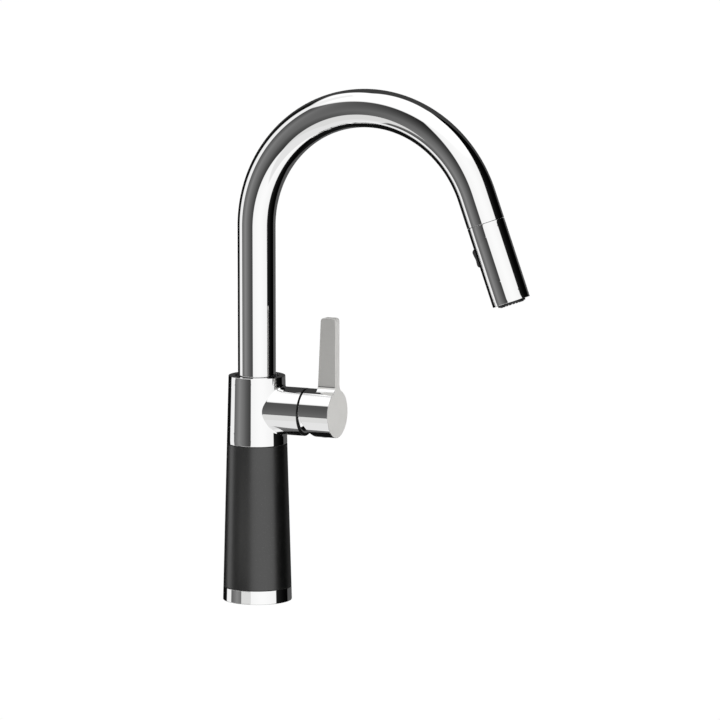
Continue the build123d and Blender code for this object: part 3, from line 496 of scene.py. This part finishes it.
# Front: the ball that rolls in the corner touches the housing and the cone, and the fillet is the
# arc between, centre + (sin((1-t)w) a + sin(tw) b) / sin w for the legs a and b. SPREAD sets the
# rows of faces closer at the housing's top and bottom
edge = frame_points(0, pi / 2, cone_bottom, cone_top)
bearing = np.arctan2(edge[1] - HUB_Z, edge[0] * HOUSING_R * SPREAD)
slant = sqrt(1 + CONE_TAPER ** 2)
ball_y = (HOUSING_R + FILLET) * np.cos(bearing)
ball_z = HUB_Z + (HOUSING_R + FILLET) * np.sin(bearing)
ball_r = cone(ball_z) + FILLET * slant
ball_x = np.sqrt(ball_r ** 2 - ball_y ** 2)
ball = points_at(ball_x, ball_y, ball_z)
to_cone = -points_at(ball_x / ball_r, ball_y / ball_r, CONE_TAPER) / slant
to_hub = -points_at(0, np.cos(bearing), np.sin(bearing))
w = np.arccos((to_cone * to_hub).sum(-1))[None, :, None]
t = np.linspace(0, 1, 11)[:, None, None]
roll = ball + FILLET * (np.sin((1 - t) * w) * to_cone + np.sin(t * w) * to_hub) / np.sin(w)
touch = roll[0]
hole = (np.arctan2(touch[:, 1], touch[:, 0]), touch[:, 2])
cone_front = patch(edge, hole, cone, PATCH_ROWS)
mouth_path = outline(
    (LIP_X, HOUSING_R, 0.3), (LIP_X, 16.6, 0.2), (42.4, 16.6, 0.1), (42.4, 14.6, 0.2),
    (20.0, 14.6, 0.5), (20.0, 0.0, 0))
ends = np.linspace(0, 1, 5)[1:, None]
barrel_x = ball_x[None] + (mouth_path[0, 0] - ball_x[None]) * ends
barrel = hub(barrel_x, HOUSING_R, bearing[None])
mouth = hub(mouth_path[:, :1], mouth_path[:, 1:], bearing[None])
body_front = np.concatenate([cone_front, roll[1:], barrel, mouth[1:]])

# Back: a small drilled hole for the screw that holds the spout's foot
edge = frame_points(pi, pi / 2, cone_bottom, cone_top)
bearing = np.arctan2(edge[1] - SCREW_Z, (edge[0] - pi) * 20)
rim = SCREW_R + CHAMFER
hole_y, hole_z = -rim * np.cos(bearing), SCREW_Z + rim * np.sin(bearing)
hole = (pi - np.arcsin(hole_y / cone(hole_z)), hole_z)
screw_back = patch(edge, hole, cone, PATCH_ROWS)
bore_x = np.array([SCREW_HOLE_X[0], SCREW_HOLE_X[1], SCREW_HOLE_X[1]])[:, None]
bore_r = np.array([SCREW_R, SCREW_R, 0.0])[:, None]
screw_bore = points_at(bore_x, -bore_r * np.cos(bearing), SCREW_Z + bore_r * np.sin(bearing))
body = skin("mixer_body_cast", rest_of_body, body_front, np.concatenate([screw_back, screw_bore]))
stands_for(body, polished_chrome, "mixer", "chrome", "mixer_body")
# Painted shade: inside the housing's mouth the plate is dark grey, so the thin gap to the lever looks dark
painted_gap_shade = finish("painted_gap_shade_plate", "#3a3a39", 0.5, 0.9, grain=0.3, spread=0.1, bump=0.004,
                 tint="#2e2e2e")
body.data.materials.append(painted_gap_shade)
for face in body.data.polygons:
    inside = hypot(face.center.y, face.center.z - HUB_Z * MM) < (HOUSING_R - 0.32) * MM
    face.material_index = int(inside and face.center.x > GAP_SHADE_FROM_X * MM)

# Acetal slide ring between the body's bore and the spout: only its top edge shows, as a thin gap.
# Acetal moulds smooth and faintly waxy
black_acetal = finish("black_acetal", "#1c1c1d", 0.42, grain=0.3, spread=0.06, bump=0.004, tint="#242425")
slide_ring = turned("spout_slide_ring_moulded", outline(
    (171.0, 15.05, 0.2), (171.0, 17.45, 0.2), (178.6, 17.45, 0.3), (178.6, 15.05, 0.3)))
stands_for(slide_ring, black_acetal, "mixer", "black_plastic", "spout_slide_ring")

# ---------------------------------------------------------------------------------------------
# Spout: one drawn brass tube, bent through 160 degrees on a mandrel, polished and plated. It
# stands in the body's bore and turns there.
# ---------------------------------------------------------------------------------------------
SPOUT_R = 15.0
SPOUT_WALL = 1.2
SPOUT_FOOT = 150.0
SPOUT_TIP = BEND_S + 22.15
SPOUT_STEP = 2.2


def spaced(path, step):
    """The closed path with more points, no two further apart than the step."""
    runs = []
    for p, q in zip(path, np.roll(path, -1, axis=0)):
        count = max(1, int(np.ceil(hypot(*(q - p)) / step)))
        runs.append(p + (q - p) * (np.arange(count) / count)[:, None])
    return np.concatenate(runs)


spout_path = outline(
    (SPOUT_FOOT, SPOUT_R, 0.2), (SPOUT_TIP, SPOUT_R, 0.2),
    (SPOUT_TIP, SPOUT_R - SPOUT_WALL, 0.2), (SPOUT_FOOT, SPOUT_R - SPOUT_WALL, 0.2))
spout = turned("spout_tube_bent", spaced(spout_path, SPOUT_STEP), turns=128)
stands_for(spout, polished_chrome, "spout", "chrome", "spout_tube")

# The docking collar in the spout's mouth, moulded in acetal, guides the hose and seats the head
collar = turned("docking_collar_moulded", outline(
    (BEND_S + 2.0, 13.8, 0.2), (BEND_S + 2.0, 7.5, 0.5), (BEND_S + 3.0, 6.5, 0.5), (BEND_S + 7.0, 6.5, 0.5),
    (BEND_S + 8.0, 10.5, 0.3), (BEND_S + 20.15, 10.5, 0.3), (BEND_S + 21.15, 11.2, 0.2),
    (BEND_S + 21.15, 13.8, 0.2)))
stands_for(collar, black_acetal, "spout", "black_plastic", "docking_collar")

# ---------------------------------------------------------------------------------------------
# Pull out hose: a plastic hose in a braided nylon jacket. It runs through the spout, and only
# the stretch at the mouth shows, once the head is pulled.
# ---------------------------------------------------------------------------------------------
HOSE_R = 5.5
HOSE_WALL = 1.5
HOSE_HEAD = BEND_S + 14.0
HOSE_BOTTOM = -66.0
HOSE_SPLIT = BEND_S - 4.0
YARN_PITCH = 2.2
YARNS = 14
PULL = 200.0


def braid():
    """Braided nylon: two sets of yarns wind opposite ways, sin(n a + k s) and sin(n a - k s).

    a is the turn round the hose and s the way along it, from the hose's own UV map in mm. The yarn
    on top at each spot is the higher of the two waves. The colour darkens where the weave is low:
    painted shade in the gaps between yarns.
    """
    made, tree = blank("braided_nylon_jacket")
    way = add(tree, "ShaderNodeSeparateXYZ", {0: add(tree, "ShaderNodeUVMap", uv_map="along")}).outputs
    round_way = add(tree, "ShaderNodeMath", {0: way["X"], 1: 2 * pi * YARNS}, operation="MULTIPLY")
    along_way = add(tree, "ShaderNodeMath", {0: way["Y"], 1: 2 * pi / YARN_PITCH}, operation="MULTIPLY")
    waves = []
    for hand in ("ADD", "SUBTRACT"):
        phase = add(tree, "ShaderNodeMath", {0: round_way, 1: along_way}, operation=hand)
        waves.append(add(tree, "ShaderNodeMath", {0: phase}, operation="SINE"))
    weave = add(tree, "ShaderNodeMath", {0: waves[0], 1: waves[1]}, operation="MAXIMUM")
    # Painted shade: darker where the weave is low, in the gaps between yarns
    painted_weave_shade = add(tree, "ShaderNodeMapRange", {"Value": weave, "From Min": -0.4, "From Max": 1.0})
    colour = add(tree, "ShaderNodeMix", {"Factor": painted_weave_shade, "A": linear("#0c0c0d"), "B": linear("#4a4b4e")},
                 data_type="RGBA")
    height = add(tree, "ShaderNodeBump", {"Height": weave, "Strength": 1.0, "Distance": 0.15 * MM})
    shader = add(tree, "ShaderNodeBsdfPrincipled", {"Base Color": colour, "Normal": height, "Roughness": 0.5})
    add(tree, "ShaderNodeOutputMaterial", {"Surface": shader})
    return made


def hose(name, low, high, step):
    """One stretch of the hose, between two distances along the centre line."""
    inner = HOSE_R - HOSE_WALL
    wall = outline((low, HOSE_R, 0.1), (high, HOSE_R, 0.1), (high, inner, 0.1), (low, inner, 0.1))
    return turned(name, spaced(wall, step), turns=40)


def lay_along(piece):
    """A UV map for the hose: its turn, and the way along it in mm when the head is fully out.

    A point's bend angle gives its place on the centre line, and its offset from there its turn.
    """
    mesh = piece.data
    corner = np.empty(len(mesh.loops), int)
    mesh.loops.foreach_get("vertex_index", corner)
    spot = np.empty(len(mesh.vertices) * 3)
    mesh.vertices.foreach_get("co", spot)
    spot = spot.reshape(-1, 3) / MM
    t = np.arctan2(spot[:, 2] - ARC_Z, ARC_R - spot[:, 0])
    t = np.where(spot[:, 0] < ARC_R / 2, np.clip(t, 0, BEND), np.clip(t % (2 * pi), 0, BEND))
    past = np.maximum((spot - place(np.array(BEND_S), 0.0, 0.0)) @ (sin(BEND), 0, cos(BEND)), 0)
    s = np.where(t <= 0, spot[:, 2], ARC_Z + ARC_R * t + np.where(t >= BEND, past, 0))
    inward = points_at(np.cos(t), 0, -np.sin(t))
    turn = np.arctan2(spot[:, 1], ((spot - place(s, 0.0, 0.0)) * inward).sum(-1)) / (2 * pi)
    pulled = np.clip((s - BEND_S) / (HOSE_HEAD - BEND_S), 0, 1)
    along = s + PULL * pulled ** 2 * (3 - 2 * pulled)
    turn = turn[corner].reshape(-1, 4)
    turn = np.where(turn.max(1, keepdims=True) - turn > 0.5, turn + 1, turn)
    layer = mesh.uv_layers.new(name="along")
    layer.data.foreach_set("uv", np.stack([turn.ravel(), along[corner]], -1).ravel())


# The stretch inside the spout stays there, and the last one lies between the spout and the head
braided_jacket = braid()
hose_inside = hose("pull_hose_in_spout", HOSE_BOTTOM, HOSE_SPLIT, SPOUT_STEP)
lay_along(hose_inside)
stands_for(hose_inside, braided_jacket, "spout", "braided_hose", "pull_hose")
hose_out = hose("pull_hose_drawn_out", HOSE_SPLIT, HOSE_HEAD, 0.6)
lay_along(hose_out)
hose_out.data.materials.append(braided_jacket)
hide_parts("pull_hose")
tip = place(np.array(BEND_S), 0.0, 0.0) * MM
head = place(np.array(HOSE_HEAD), 0.0, 0.0) * MM
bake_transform(hose_out)

# ---------------------------------------------------------------------------------------------
# Spray head: a polished shell the spout's own size, so that only a hairline joint parts them. It
# carries the rocker on its inner side, and a soft black face with silicone nozzles in its end.
# ---------------------------------------------------------------------------------------------
HEAD_TOP = BEND_S + 22.45
HEAD_END = BEND_S + 86.3
HEAD_BORE_R = 13.2
SLOT_START = BEND_S + 38.05
SLOT_END = BEND_S + 53.95
SLOT_Y = 4.6
HEAD_SIDE = 96


def slot_edge(grow, bearing, radius):
    """The rounded slot's edge as turn and height: the superellipse |y/b|^n + |s/a|^n = 1, n = 9."""
    a, b, n = (SLOT_END - SLOT_START) / 2 + grow, SLOT_Y + grow, 9.0
    r = (np.abs(np.cos(bearing) / b) ** n + np.abs(np.sin(bearing) / a) ** n) ** (-1 / n)
    return np.arcsin(r * np.cos(bearing) / radius), (SLOT_START + SLOT_END) / 2 + r * np.sin(bearing)


head_path = outline(
    (HEAD_END, SPOUT_R, 0.3), (HEAD_END, HEAD_BORE_R, 0.2),
    (HEAD_TOP, HEAD_BORE_R, 0.2), (HEAD_TOP, SPOUT_R, 0.3))
# Its rounded ends are turned, and its outside and its bore are patches round the rocker's slot
half_path = len(head_path) // 2
head_around = np.linspace(-pi, pi, HEAD_SIDE, endpoint=False)[None]
head_ends = [place(part[:, :1], part[:, 1:], head_around)
             for part in (head_path[:half_path], head_path[half_path:])]
outer_edge = frame_points(0, pi, head_path[-1, 0], head_path[0, 0], HEAD_SIDE)
inner_edge = frame_points(0, pi, head_path[half_path, 0], head_path[half_path - 1, 0], HEAD_SIDE)
bearing = np.arctan2(outer_edge[1] - (SLOT_START + SLOT_END) / 2, outer_edge[0] * SPOUT_R)
outside = patch(outer_edge, slot_edge(0.2, bearing, SPOUT_R), lambda s: np.full_like(s, SPOUT_R), 18)
lips = []
for depth, grow in ((0.06, 0.06), (0.2, 0.0), (0.3, 0.0)):
    turn, along = slot_edge(grow, bearing, SPOUT_R - depth)
    lips.append(place(along, SPOUT_R - depth, turn))
inside = patch(inner_edge, slot_edge(0.0, bearing, HEAD_BORE_R), lambda s: np.full_like(s, HEAD_BORE_R), 10)
shell = skin("spray_shell_polished", *head_ends, np.concatenate([outside, np.stack(lips), inside[::-1]]))
stands_for(shell, polished_chrome, "spray_head", "chrome", "spray_shell")

# The face plate and its nozzles: soft black silicone in an acetal rim
black_silicone = finish("black_silicone", "#232324", 0.55, grain=0.2, spread=0.08, bump=0.004, tint="#2c2c2c")
face = turned("spray_face_moulded", outline(
    (BEND_S + 79.0, 6.1, 0.1), (BEND_S + 79.0, 13.1, 0.2), (BEND_S + 85.8, 13.1, 0.3),
    (BEND_S + 85.8, 11.0, 0.1), (BEND_S + 87.8, 11.0, 0.5), (BEND_S + 87.8, 6.1, 0.3)))
stands_for(face, black_acetal, "spray_head", "black_plastic", "spray_face")

NOZZLES = 20
NOZZLE_CIRCLE_R = 8.8
nozzle_path = outline(
    (HEAD_END + 0.9, 0.75, 0.1), (HEAD_END + 2.1, 0.65, 0.2), (HEAD_END + 2.1, 0.32, 0.1),
    (HEAD_END + 1.2, 0.3, 0.0), (HEAD_END + 1.2, 0.0, 0.0), (HEAD_END + 0.9, 0.0, 0.0))
nozzle_path = np.vstack([nozzle_path, nozzle_path[:1]])
jet_around = np.linspace(0, 2 * pi, 20, endpoint=False)[None]


def jet(turn):
    """One nozzle: its outline goes round a line NOZZLE_CIRCLE_R from the head's axis, at that turn."""
    along, r = nozzle_path[:, :1], nozzle_path[:, 1:]
    y = NOZZLE_CIRCLE_R * sin(turn) + r * np.sin(jet_around)
    across = NOZZLE_CIRCLE_R * cos(turn) + r * np.cos(jet_around)
    return place(along, np.hypot(across, y), np.arctan2(y, across))


nozzles = skin("spray_nozzles_moulded", *(jet(2 * pi * k / NOZZLES) for k in range(NOZZLES)))
stands_for(nozzles, black_silicone, "spray_head", "black_plastic", "spray_nozzles")

# The acetal spigot round the hose's brass nut, which shows at the top once the head is pulled
spigot = turned("docking_spigot_moulded", outline(
    (BEND_S + 9.0, 7.3, 0.2), (BEND_S + 9.0, 10.2, 1.0), (BEND_S + 24.0, 10.2, 0.3),
    (BEND_S + 24.0, 12.9, 0.3), (BEND_S + 26.0, 12.9, 0.2), (BEND_S + 26.0, 6.1, 0.2),
    (BEND_S + 19.0, 6.1, 0.1), (BEND_S + 19.0, 7.3, 0.1)))
stands_for(spigot, black_acetal, "spray_head", "black_plastic", "docking_spigot")

# ---------------------------------------------------------------------------------------------
# Spray rocker: a dark moulded button with a high and a low lobe, finely ribbed across for wet
# fingers. It tips on a steel pin in the head's slot, 3.5 degrees each way.
# ---------------------------------------------------------------------------------------------
ROCKER_START = 38.5
ROCKER_END = 53.5
ROCKER_Y = 4.3
ROCKER_BASE = 8.2
ROCKER_END_R = 11.0
ROCKER_ROUND = 0.6
LOBES = ((38.5, 14.4), (39.3, 16.1), (40.9, 16.9), (43.5, 16.6), (47.0, 16.0), (50.0, 16.3),
         (51.7, 16.3), (52.9, 15.7), (53.5, 14.4))
RIB_PITCH = 0.85
RIB_HEIGHT = 0.12


def rocker():
    """Ribbed button: height is the lobes' smooth curve plus h sin^2(pi s / pitch), rounded at its sides.

    Each cross row is a rounded bar: out is y, falling by r - sqrt(r^2 - d^2) near each side.
    """
    s = np.linspace(ROCKER_START, ROCKER_END, 121)
    crown = np.interp(s, *np.array(LOBES).T)
    soft = np.hanning(15) / np.hanning(15).sum()
    crown[7:-7] = np.convolve(crown, soft, "valid")
    inside = np.clip(np.minimum(s - ROCKER_START, ROCKER_END - s) / 2.0, 0, 1)
    rib = RIB_HEIGHT * np.sin(pi * s / RIB_PITCH) ** 2 * inside
    corner = ROCKER_Y - ROCKER_ROUND * (1 - np.cos(np.linspace(pi / 2, 0, 6)))
    flat = np.linspace(-ROCKER_Y + ROCKER_ROUND, ROCKER_Y - ROCKER_ROUND, 14)[1:-1]
    y = np.concatenate([-corner[::-1], flat, corner])
    from_side = ROCKER_Y - np.abs(y)
    near = np.clip(ROCKER_ROUND - from_side, 0, ROCKER_ROUND)
    fall = ROCKER_ROUND - np.sqrt(ROCKER_ROUND ** 2 - near ** 2)
    ribbed = rib[:, None] * np.clip(from_side / ROCKER_ROUND - 0.4, 0, 1)
    top = crown[:, None] - fall + ribbed
    wide = np.concatenate([y, y[::-1]])
    high = np.concatenate([top, np.full_like(top, ROCKER_BASE)], axis=1)
    rows = place(BEND_S + s[:, None], np.hypot(high, wide), np.arctan2(wide, high))
    first, last = (place(BEND_S + end, ROCKER_END_R, 0 * wide)[None] for end in (ROCKER_START, ROCKER_END))
    return skin("toggle_rocker_ribbed", np.concatenate([first, rows, last]))


# Moulded ABS: dark grey with a fine spark eroded grain
ribbed_abs = finish("dark_grey_abs", "#2a2a2b", 0.46, grain=0.15, spread=0.06, bump=0.006, tint="#343434")
stands_for(rocker(), ribbed_abs, "toggle", "toggle_plastic", "toggle_button")

# ---------------------------------------------------------------------------------------------
# Lever: a zinc casting. A round hub runs back to the housing, cut away at a slant underneath so
# that it can tip, and its end plate rises into a thin blade. Polished and plated, with the blade
# satin brushed and the end face bead blasted.
# ---------------------------------------------------------------------------------------------
HUB_R = 18.9
HUB_START = 44.6
HUB_END = 70.2
PLATE_X = 54.9
BLADE_HALF = 3.9
BLADE_TOP = 229.0 - HUB_Z
BLADE_LEAN = 0.045
ROOT_R = 6.6
TOP_R = 2.5
BEVEL = 0.25
PIVOT_X = 36.0
CAVITY_R = 17.6
CUT_ANGLE = radians(25)
CUT_DISTANCE = 7.85
STRAIGHT_FROM = 27.0
SATIN_FROM = HUB_R + 1.3
LEFT_HUB = 0.912
DEPTHS = (0.32, 0.6, 1.0, 1.5, 2.0, 2.5)


def keyhole():
    """The end plate's outline and its outward normals: a disc, two root fillets and the blade.

    Every arc is centre + r (cos a, sin a), and the other half is the mirror image of the first.
    """
    root = np.array([BLADE_HALF + ROOT_R, sqrt((HUB_R + ROOT_R) ** 2 - (BLADE_HALF + ROOT_R) ** 2)])
    meet = atan2(root[1], root[0])
    a = np.linspace(-pi / 2, meet, 96)
    disc = np.stack([np.cos(a), np.sin(a)], -1)
    b = np.linspace(meet + pi, pi, 12)[1:]
    fillet = np.stack([np.cos(b), np.sin(b)], -1)
    w = np.linspace(root[1], BLADE_TOP - BEVEL, 26)[1:]
    side = np.stack([np.full_like(w, BLADE_HALF), w], -1)
    c = np.linspace(0, pi / 2, 5)[1:]
    corner = np.stack([np.cos(c), np.sin(c)], -1)
    y = np.linspace(BLADE_HALF - BEVEL, 0, 5)[1:]
    top = np.stack([y, np.full_like(y, BLADE_TOP)], -1)
    corner_middle = np.array([BLADE_HALF - BEVEL, BLADE_TOP - BEVEL])
    half = np.concatenate([disc * HUB_R, root + ROOT_R * fillet, side, corner_middle + BEVEL * corner, top])
    facing = np.concatenate([disc, -fillet, side * 0 + (1, 0), corner, top * 0 + (0, 1)])
    mirror = (-1, 1)
    return np.concatenate([half, half[-2:0:-1] * mirror]), np.concatenate([facing, facing[-2:0:-1] * mirror])


def lever_casting():
    """The lever as rings over the keyhole outline, from its ball-shaped cavity out to its end face.

    The blade's top rounds off by h = r - sqrt(r^2 - (r - d)^2) at a depth d from either face. Above
    LEFT_HUB of the hub's radius the outline is the blade's, and its foot is the hub's circle.
    """
    rim, facing = keyhole()
    y, w = rim.T
    on_circle = np.stack([y, np.sqrt(np.maximum(HUB_R ** 2 - y ** 2, 0))], -1)
    foot = np.where((w > HUB_R * LEFT_HUB)[:, None], on_circle, rim)
    step = np.hypot(*(rim - foot).T)
    turn = np.arctan2(foot[:, 1], foot[:, 0])
    slope = np.tan(CUT_ANGLE) * np.sin(turn)
    deep = CUT_DISTANCE / cos(CUT_ANGLE)

    def back_face(r):
        """Where the hub's back stands at a radius: square across, or slanted underneath."""
        return np.maximum(HUB_START, PIVOT_X + deep - slope * r)

    flat_mouth = sqrt(CAVITY_R ** 2 - (HUB_START - PIVOT_X) ** 2)
    under_root = deep ** 2 * slope ** 2 - (1 + slope ** 2) * (deep ** 2 - CAVITY_R ** 2)
    slant_mouth = (deep * slope + np.sqrt(under_root)) / (1 + slope ** 2)
    mouth_r = np.where(PIVOT_X + deep - slope * flat_mouth > HUB_START, slant_mouth, flat_mouth)
    mouth_x = np.maximum(HUB_START, PIVOT_X + np.sqrt(CAVITY_R ** 2 - mouth_r ** 2))
    opening = np.arctan2(mouth_r, mouth_x - PIVOT_X)
    rows = []

    def ring(x, across):
        """One more row of points, at x, with its offsets from the hub's axis."""
        rows.append(points_at(x, across[:, 0], HUB_Z + across[:, 1]))

    # The ball-shaped cavity, then the slanted back face
    unit = foot / HUB_R
    for t in np.linspace(0, 1, 14):
        ring(PIVOT_X + CAVITY_R * np.cos(opening * t), unit * (CAVITY_R * np.sin(opening * t))[:, None])
    for t in (0.03, 0.97):
        r = mouth_r + (HUB_R - BEVEL - mouth_r) * t
        ring(back_face(r), unit * r[:, None])
    # The back face's rounded edge, (1-t)^2 p + 2t(1-t) q + t^2 r, then the hub's side
    corner_x = back_face(HUB_R)
    for t in np.linspace(0, 1, 6):
        r = HUB_R - BEVEL * (1 - t) ** 2
        x = (1 - t) ** 2 * back_face(HUB_R - BEVEL) + 2 * t * (1 - t) * corner_x + t ** 2 * (corner_x + BEVEL)
        ring(x, unit * r)
    ring(corner_x + BEVEL + 0.1, foot)
    ring(PLATE_X - 0.05, foot)
    ring(PLATE_X, foot)
    bevel = np.minimum(BEVEL, step * 0.4)

    def wall(depth, inset, from_back):
        """A ring of the end plate, at a depth from its back or front face and moved in by the inset."""
        back = PLATE_X + BLADE_LEAN * np.maximum(w - HUB_R, 0)
        x = back + depth if from_back else HUB_END - depth
        fall = TOP_R - sqrt(TOP_R ** 2 - max(TOP_R - depth, 0) ** 2)
        keep = (BLADE_TOP - fall - STRAIGHT_FROM) / (BLADE_TOP - STRAIGHT_FROM)
        tall = np.where(w > STRAIGHT_FROM, STRAIGHT_FROM + (w - STRAIGHT_FROM) * keep, w)
        ring(x, np.stack([y, tall], -1) - facing * np.broadcast_to(inset, y.shape)[:, None])

    # The end plate: its back with a bevel, its sides, and its front with a bevel
    wall(0.0, np.minimum(BEVEL + 0.06, step * 0.5), True)
    for a in np.linspace(0, pi / 2, 5):
        wall(BEVEL * (1 - cos(a)), bevel * (1 - sin(a)), True)
    for depth in DEPTHS:
        wall(depth, 0.0, True)
    for depth in reversed(DEPTHS):
        wall(depth, 0.0, False)
    for a in np.linspace(pi / 2, 0, 5):
        wall(BEVEL * (1 - cos(a)), BEVEL * (1 - sin(a)), False)
    wall(0.0, BEVEL + 0.06, False)
    ring(HUB_END, rim * 0)
    return skin("lever_handle_cast", np.stack(rows))


def finish_faces(mesh):
    """Choose each face's finish by its place and by how far its normal leans along each axis.

    The end face and the blade's front and top are pearl, the blade's sides and back satin, and the
    upper half of the hub's back gets the dark plate, painted shade for the gap. The rest stays polished.
    """
    polished, satin, pearl, shaded_gap = range(4)
    for face in mesh.polygons:
        x, z = face.center.x / MM, face.center.z / MM
        out = hypot(face.center.y / MM, z - HUB_Z)
        along, aside, up = face.normal.x, abs(face.normal.y), face.normal.z
        blade = z > HUB_Z + SATIN_FROM and x > PLATE_X - 0.01
        if x > HUB_END - 0.02 and along > 0.9995 or blade and (along > 0.5 or up > 0.3):
            face.material_index = pearl
        elif blade and (aside > 0.975 or aside < 0.1):
            face.material_index = satin
        # Painted shade: the upper half of the hub's back, facing into the gap, is dark
        elif along < -0.5 and z > HUB_Z and out < HUB_R - 0.3:
            face.material_index = shaded_gap
        else:
            face.material_index = polished


lever = lever_casting()
stands_for(lever, polished_chrome, "lever", "lever_chrome", "lever_handle")
# Satin chrome: a fine grit brushed finish that scatters the studio into one even grey
satin_chrome = finish("satin_chrome_plate", "#d2d1ce", 0.38, 0.55, grain=0.12, spread=0.05, bump=0.001,
                      tint="#cbcac7", wear=14.0, stretch=(1, 1, 6))
lever.data.materials.append(satin_chrome)
# The end face is bead blasted before plating: paler, with no direction to it
pearl_chrome = finish("pearl_chrome_plate", "#eeedea", 0.5, 0.05, grain=0.1, spread=0.05, bump=0.001,
                      tint="#dfdedb", wear=14.0)
lever.data.materials.append(pearl_chrome)
# The dark plate is painted shade in the gap behind the hub
lever.data.materials.append(painted_gap_shade)
finish_faces(lever.data)

# The index plug: a plain grey disc under the hub that covers the grub screw, moulded smooth
PLUG_X = 60.0
PLUG_R = 2.95
grey_plastic = finish("grey_index_plastic", "#8a8b8d", 0.3, grain=0.3, spread=0.05, bump=0.002,
                      tint="#838486")


def under_hub(s, r, a):
    """Points r from the plug's axis, s below the lever's axis."""
    return points_at(PLUG_X + r * np.cos(a), r * np.sin(a), HUB_Z - s)


plug = turned("index_plug_moulded", outline(
    (16.5, 0, 0), (16.5, PLUG_R, 0.1), (HUB_R + 0.05, PLUG_R, 0.15), (HUB_R + 0.12, 0, 0)),
    where=under_hub, turns=48)
stands_for(plug, grey_plastic, "lever", "index_plastic", "index_plug")

# ---------------------------------------------------------------------------------------------
# Dome: a thin pressed and plated ball segment screwed into the housing's mouth, round the point
# where the lever pivots. It fills the slanted gap under the hub.
# ---------------------------------------------------------------------------------------------
DOME_R = 17.2
DOME_T = 1.3
DOME_HOLE_R = 11.0
FLANGE_R = 16.5
SEAT_X = 42.4
MOUTH_X = 43.6
inner_r = DOME_R - DOME_T
outer_arc = np.linspace(np.arccos((MOUTH_X - PIVOT_X) / DOME_R), asin(DOME_HOLE_R / DOME_R), 24)
inner_arc = np.linspace(asin(DOME_HOLE_R / DOME_R), np.arccos((SEAT_X - PIVOT_X) / inner_r), 24)
dome_path = np.concatenate([
    np.array([(SEAT_X, FLANGE_R), (MOUTH_X, FLANGE_R)]),
    np.stack([PIVOT_X + DOME_R * np.cos(outer_arc), DOME_R * np.sin(outer_arc)], -1),
    np.stack([PIVOT_X + inner_r * np.cos(inner_arc), inner_r * np.sin(inner_arc)], -1)])
dome = turned("dome_cover_pressed", dome_path, where=hub)
stands_for(dome, polished_chrome, "mixer", "chrome", "dome_cover")

# ---------------------------------------------------------------------------------------------
# Inner parts and fixings: they keep their CAD shape and get the finish of what they are made of,
# such as moulded rubber, machined brass, plated steel, drawn copper and ceramic.
# ---------------------------------------------------------------------------------------------
# Brass: machined, with fine tool marks round the bar
machined_brass = finish("machined_brass", "#d9b25f", 0.28, 1.0, grain=0.3, spread=0.08, bump=0.004,
                        tint="#c9a04e")
# Steel: zinc plated or stainless, brushed and a little mottled
plated_steel = finish("plated_steel", "#b9babb", 0.33, 1.0, grain=0.25, spread=0.1, bump=0.004,
                      tint="#a2a3a4")
# Copper: drawn, and tarnished in patches
drawn_copper = finish("drawn_copper", "#c98468", 0.3, 1.0, grain=0.4, spread=0.1, bump=0.003, tint="#a8664c")
# Acetal: moulded, white and slightly waxy
white_acetal = finish("white_acetal", "#e2e1dc", 0.42, grain=0.3, spread=0.06, bump=0.004, tint="#d9d8d2")
# Alumina: lapped flat, cream, close grained and dense
lapped_alumina = finish("lapped_alumina", "#ebe7dc", 0.22, grain=0.1, spread=0.05, bump=0.001, tint="#e2ddd0")
for inner_finish, names in (
        (black_rubber, ("base_gasket", "clamp_gasket", "pipe_seals", "cartridge_seal", "coupling_seals",
                        "filter_washer")),
        (machined_brass, ("foot_plate", "spout_foot", "cartridge_nut", "hose_nut", "hose_coupling")),
        (plated_steel, ("mounting_studs", "clamp_plate", "clamp_nuts", "column_tube", "spout_set_screw",
                        "pivot_pin", "cartridge_stem", "handle_screw", "toggle_pin")),
        (drawn_copper, ("outlet_pipe", "hot_pipe", "cold_pipe")),
        (white_acetal, ("cartridge_base", "cartridge_housing", "spindle", "disc_carrier", "check_valve")),
        (black_acetal, ("spout_thrust_ring", "spray_core", "aerator")),
        (lapped_alumina, ("fixed_disc", "moving_disc"))):
    for name in names:
        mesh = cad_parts[name].data
        mesh.materials.clear()
        mesh.materials.append(inner_finish)

bpy.context.view_layer.update()
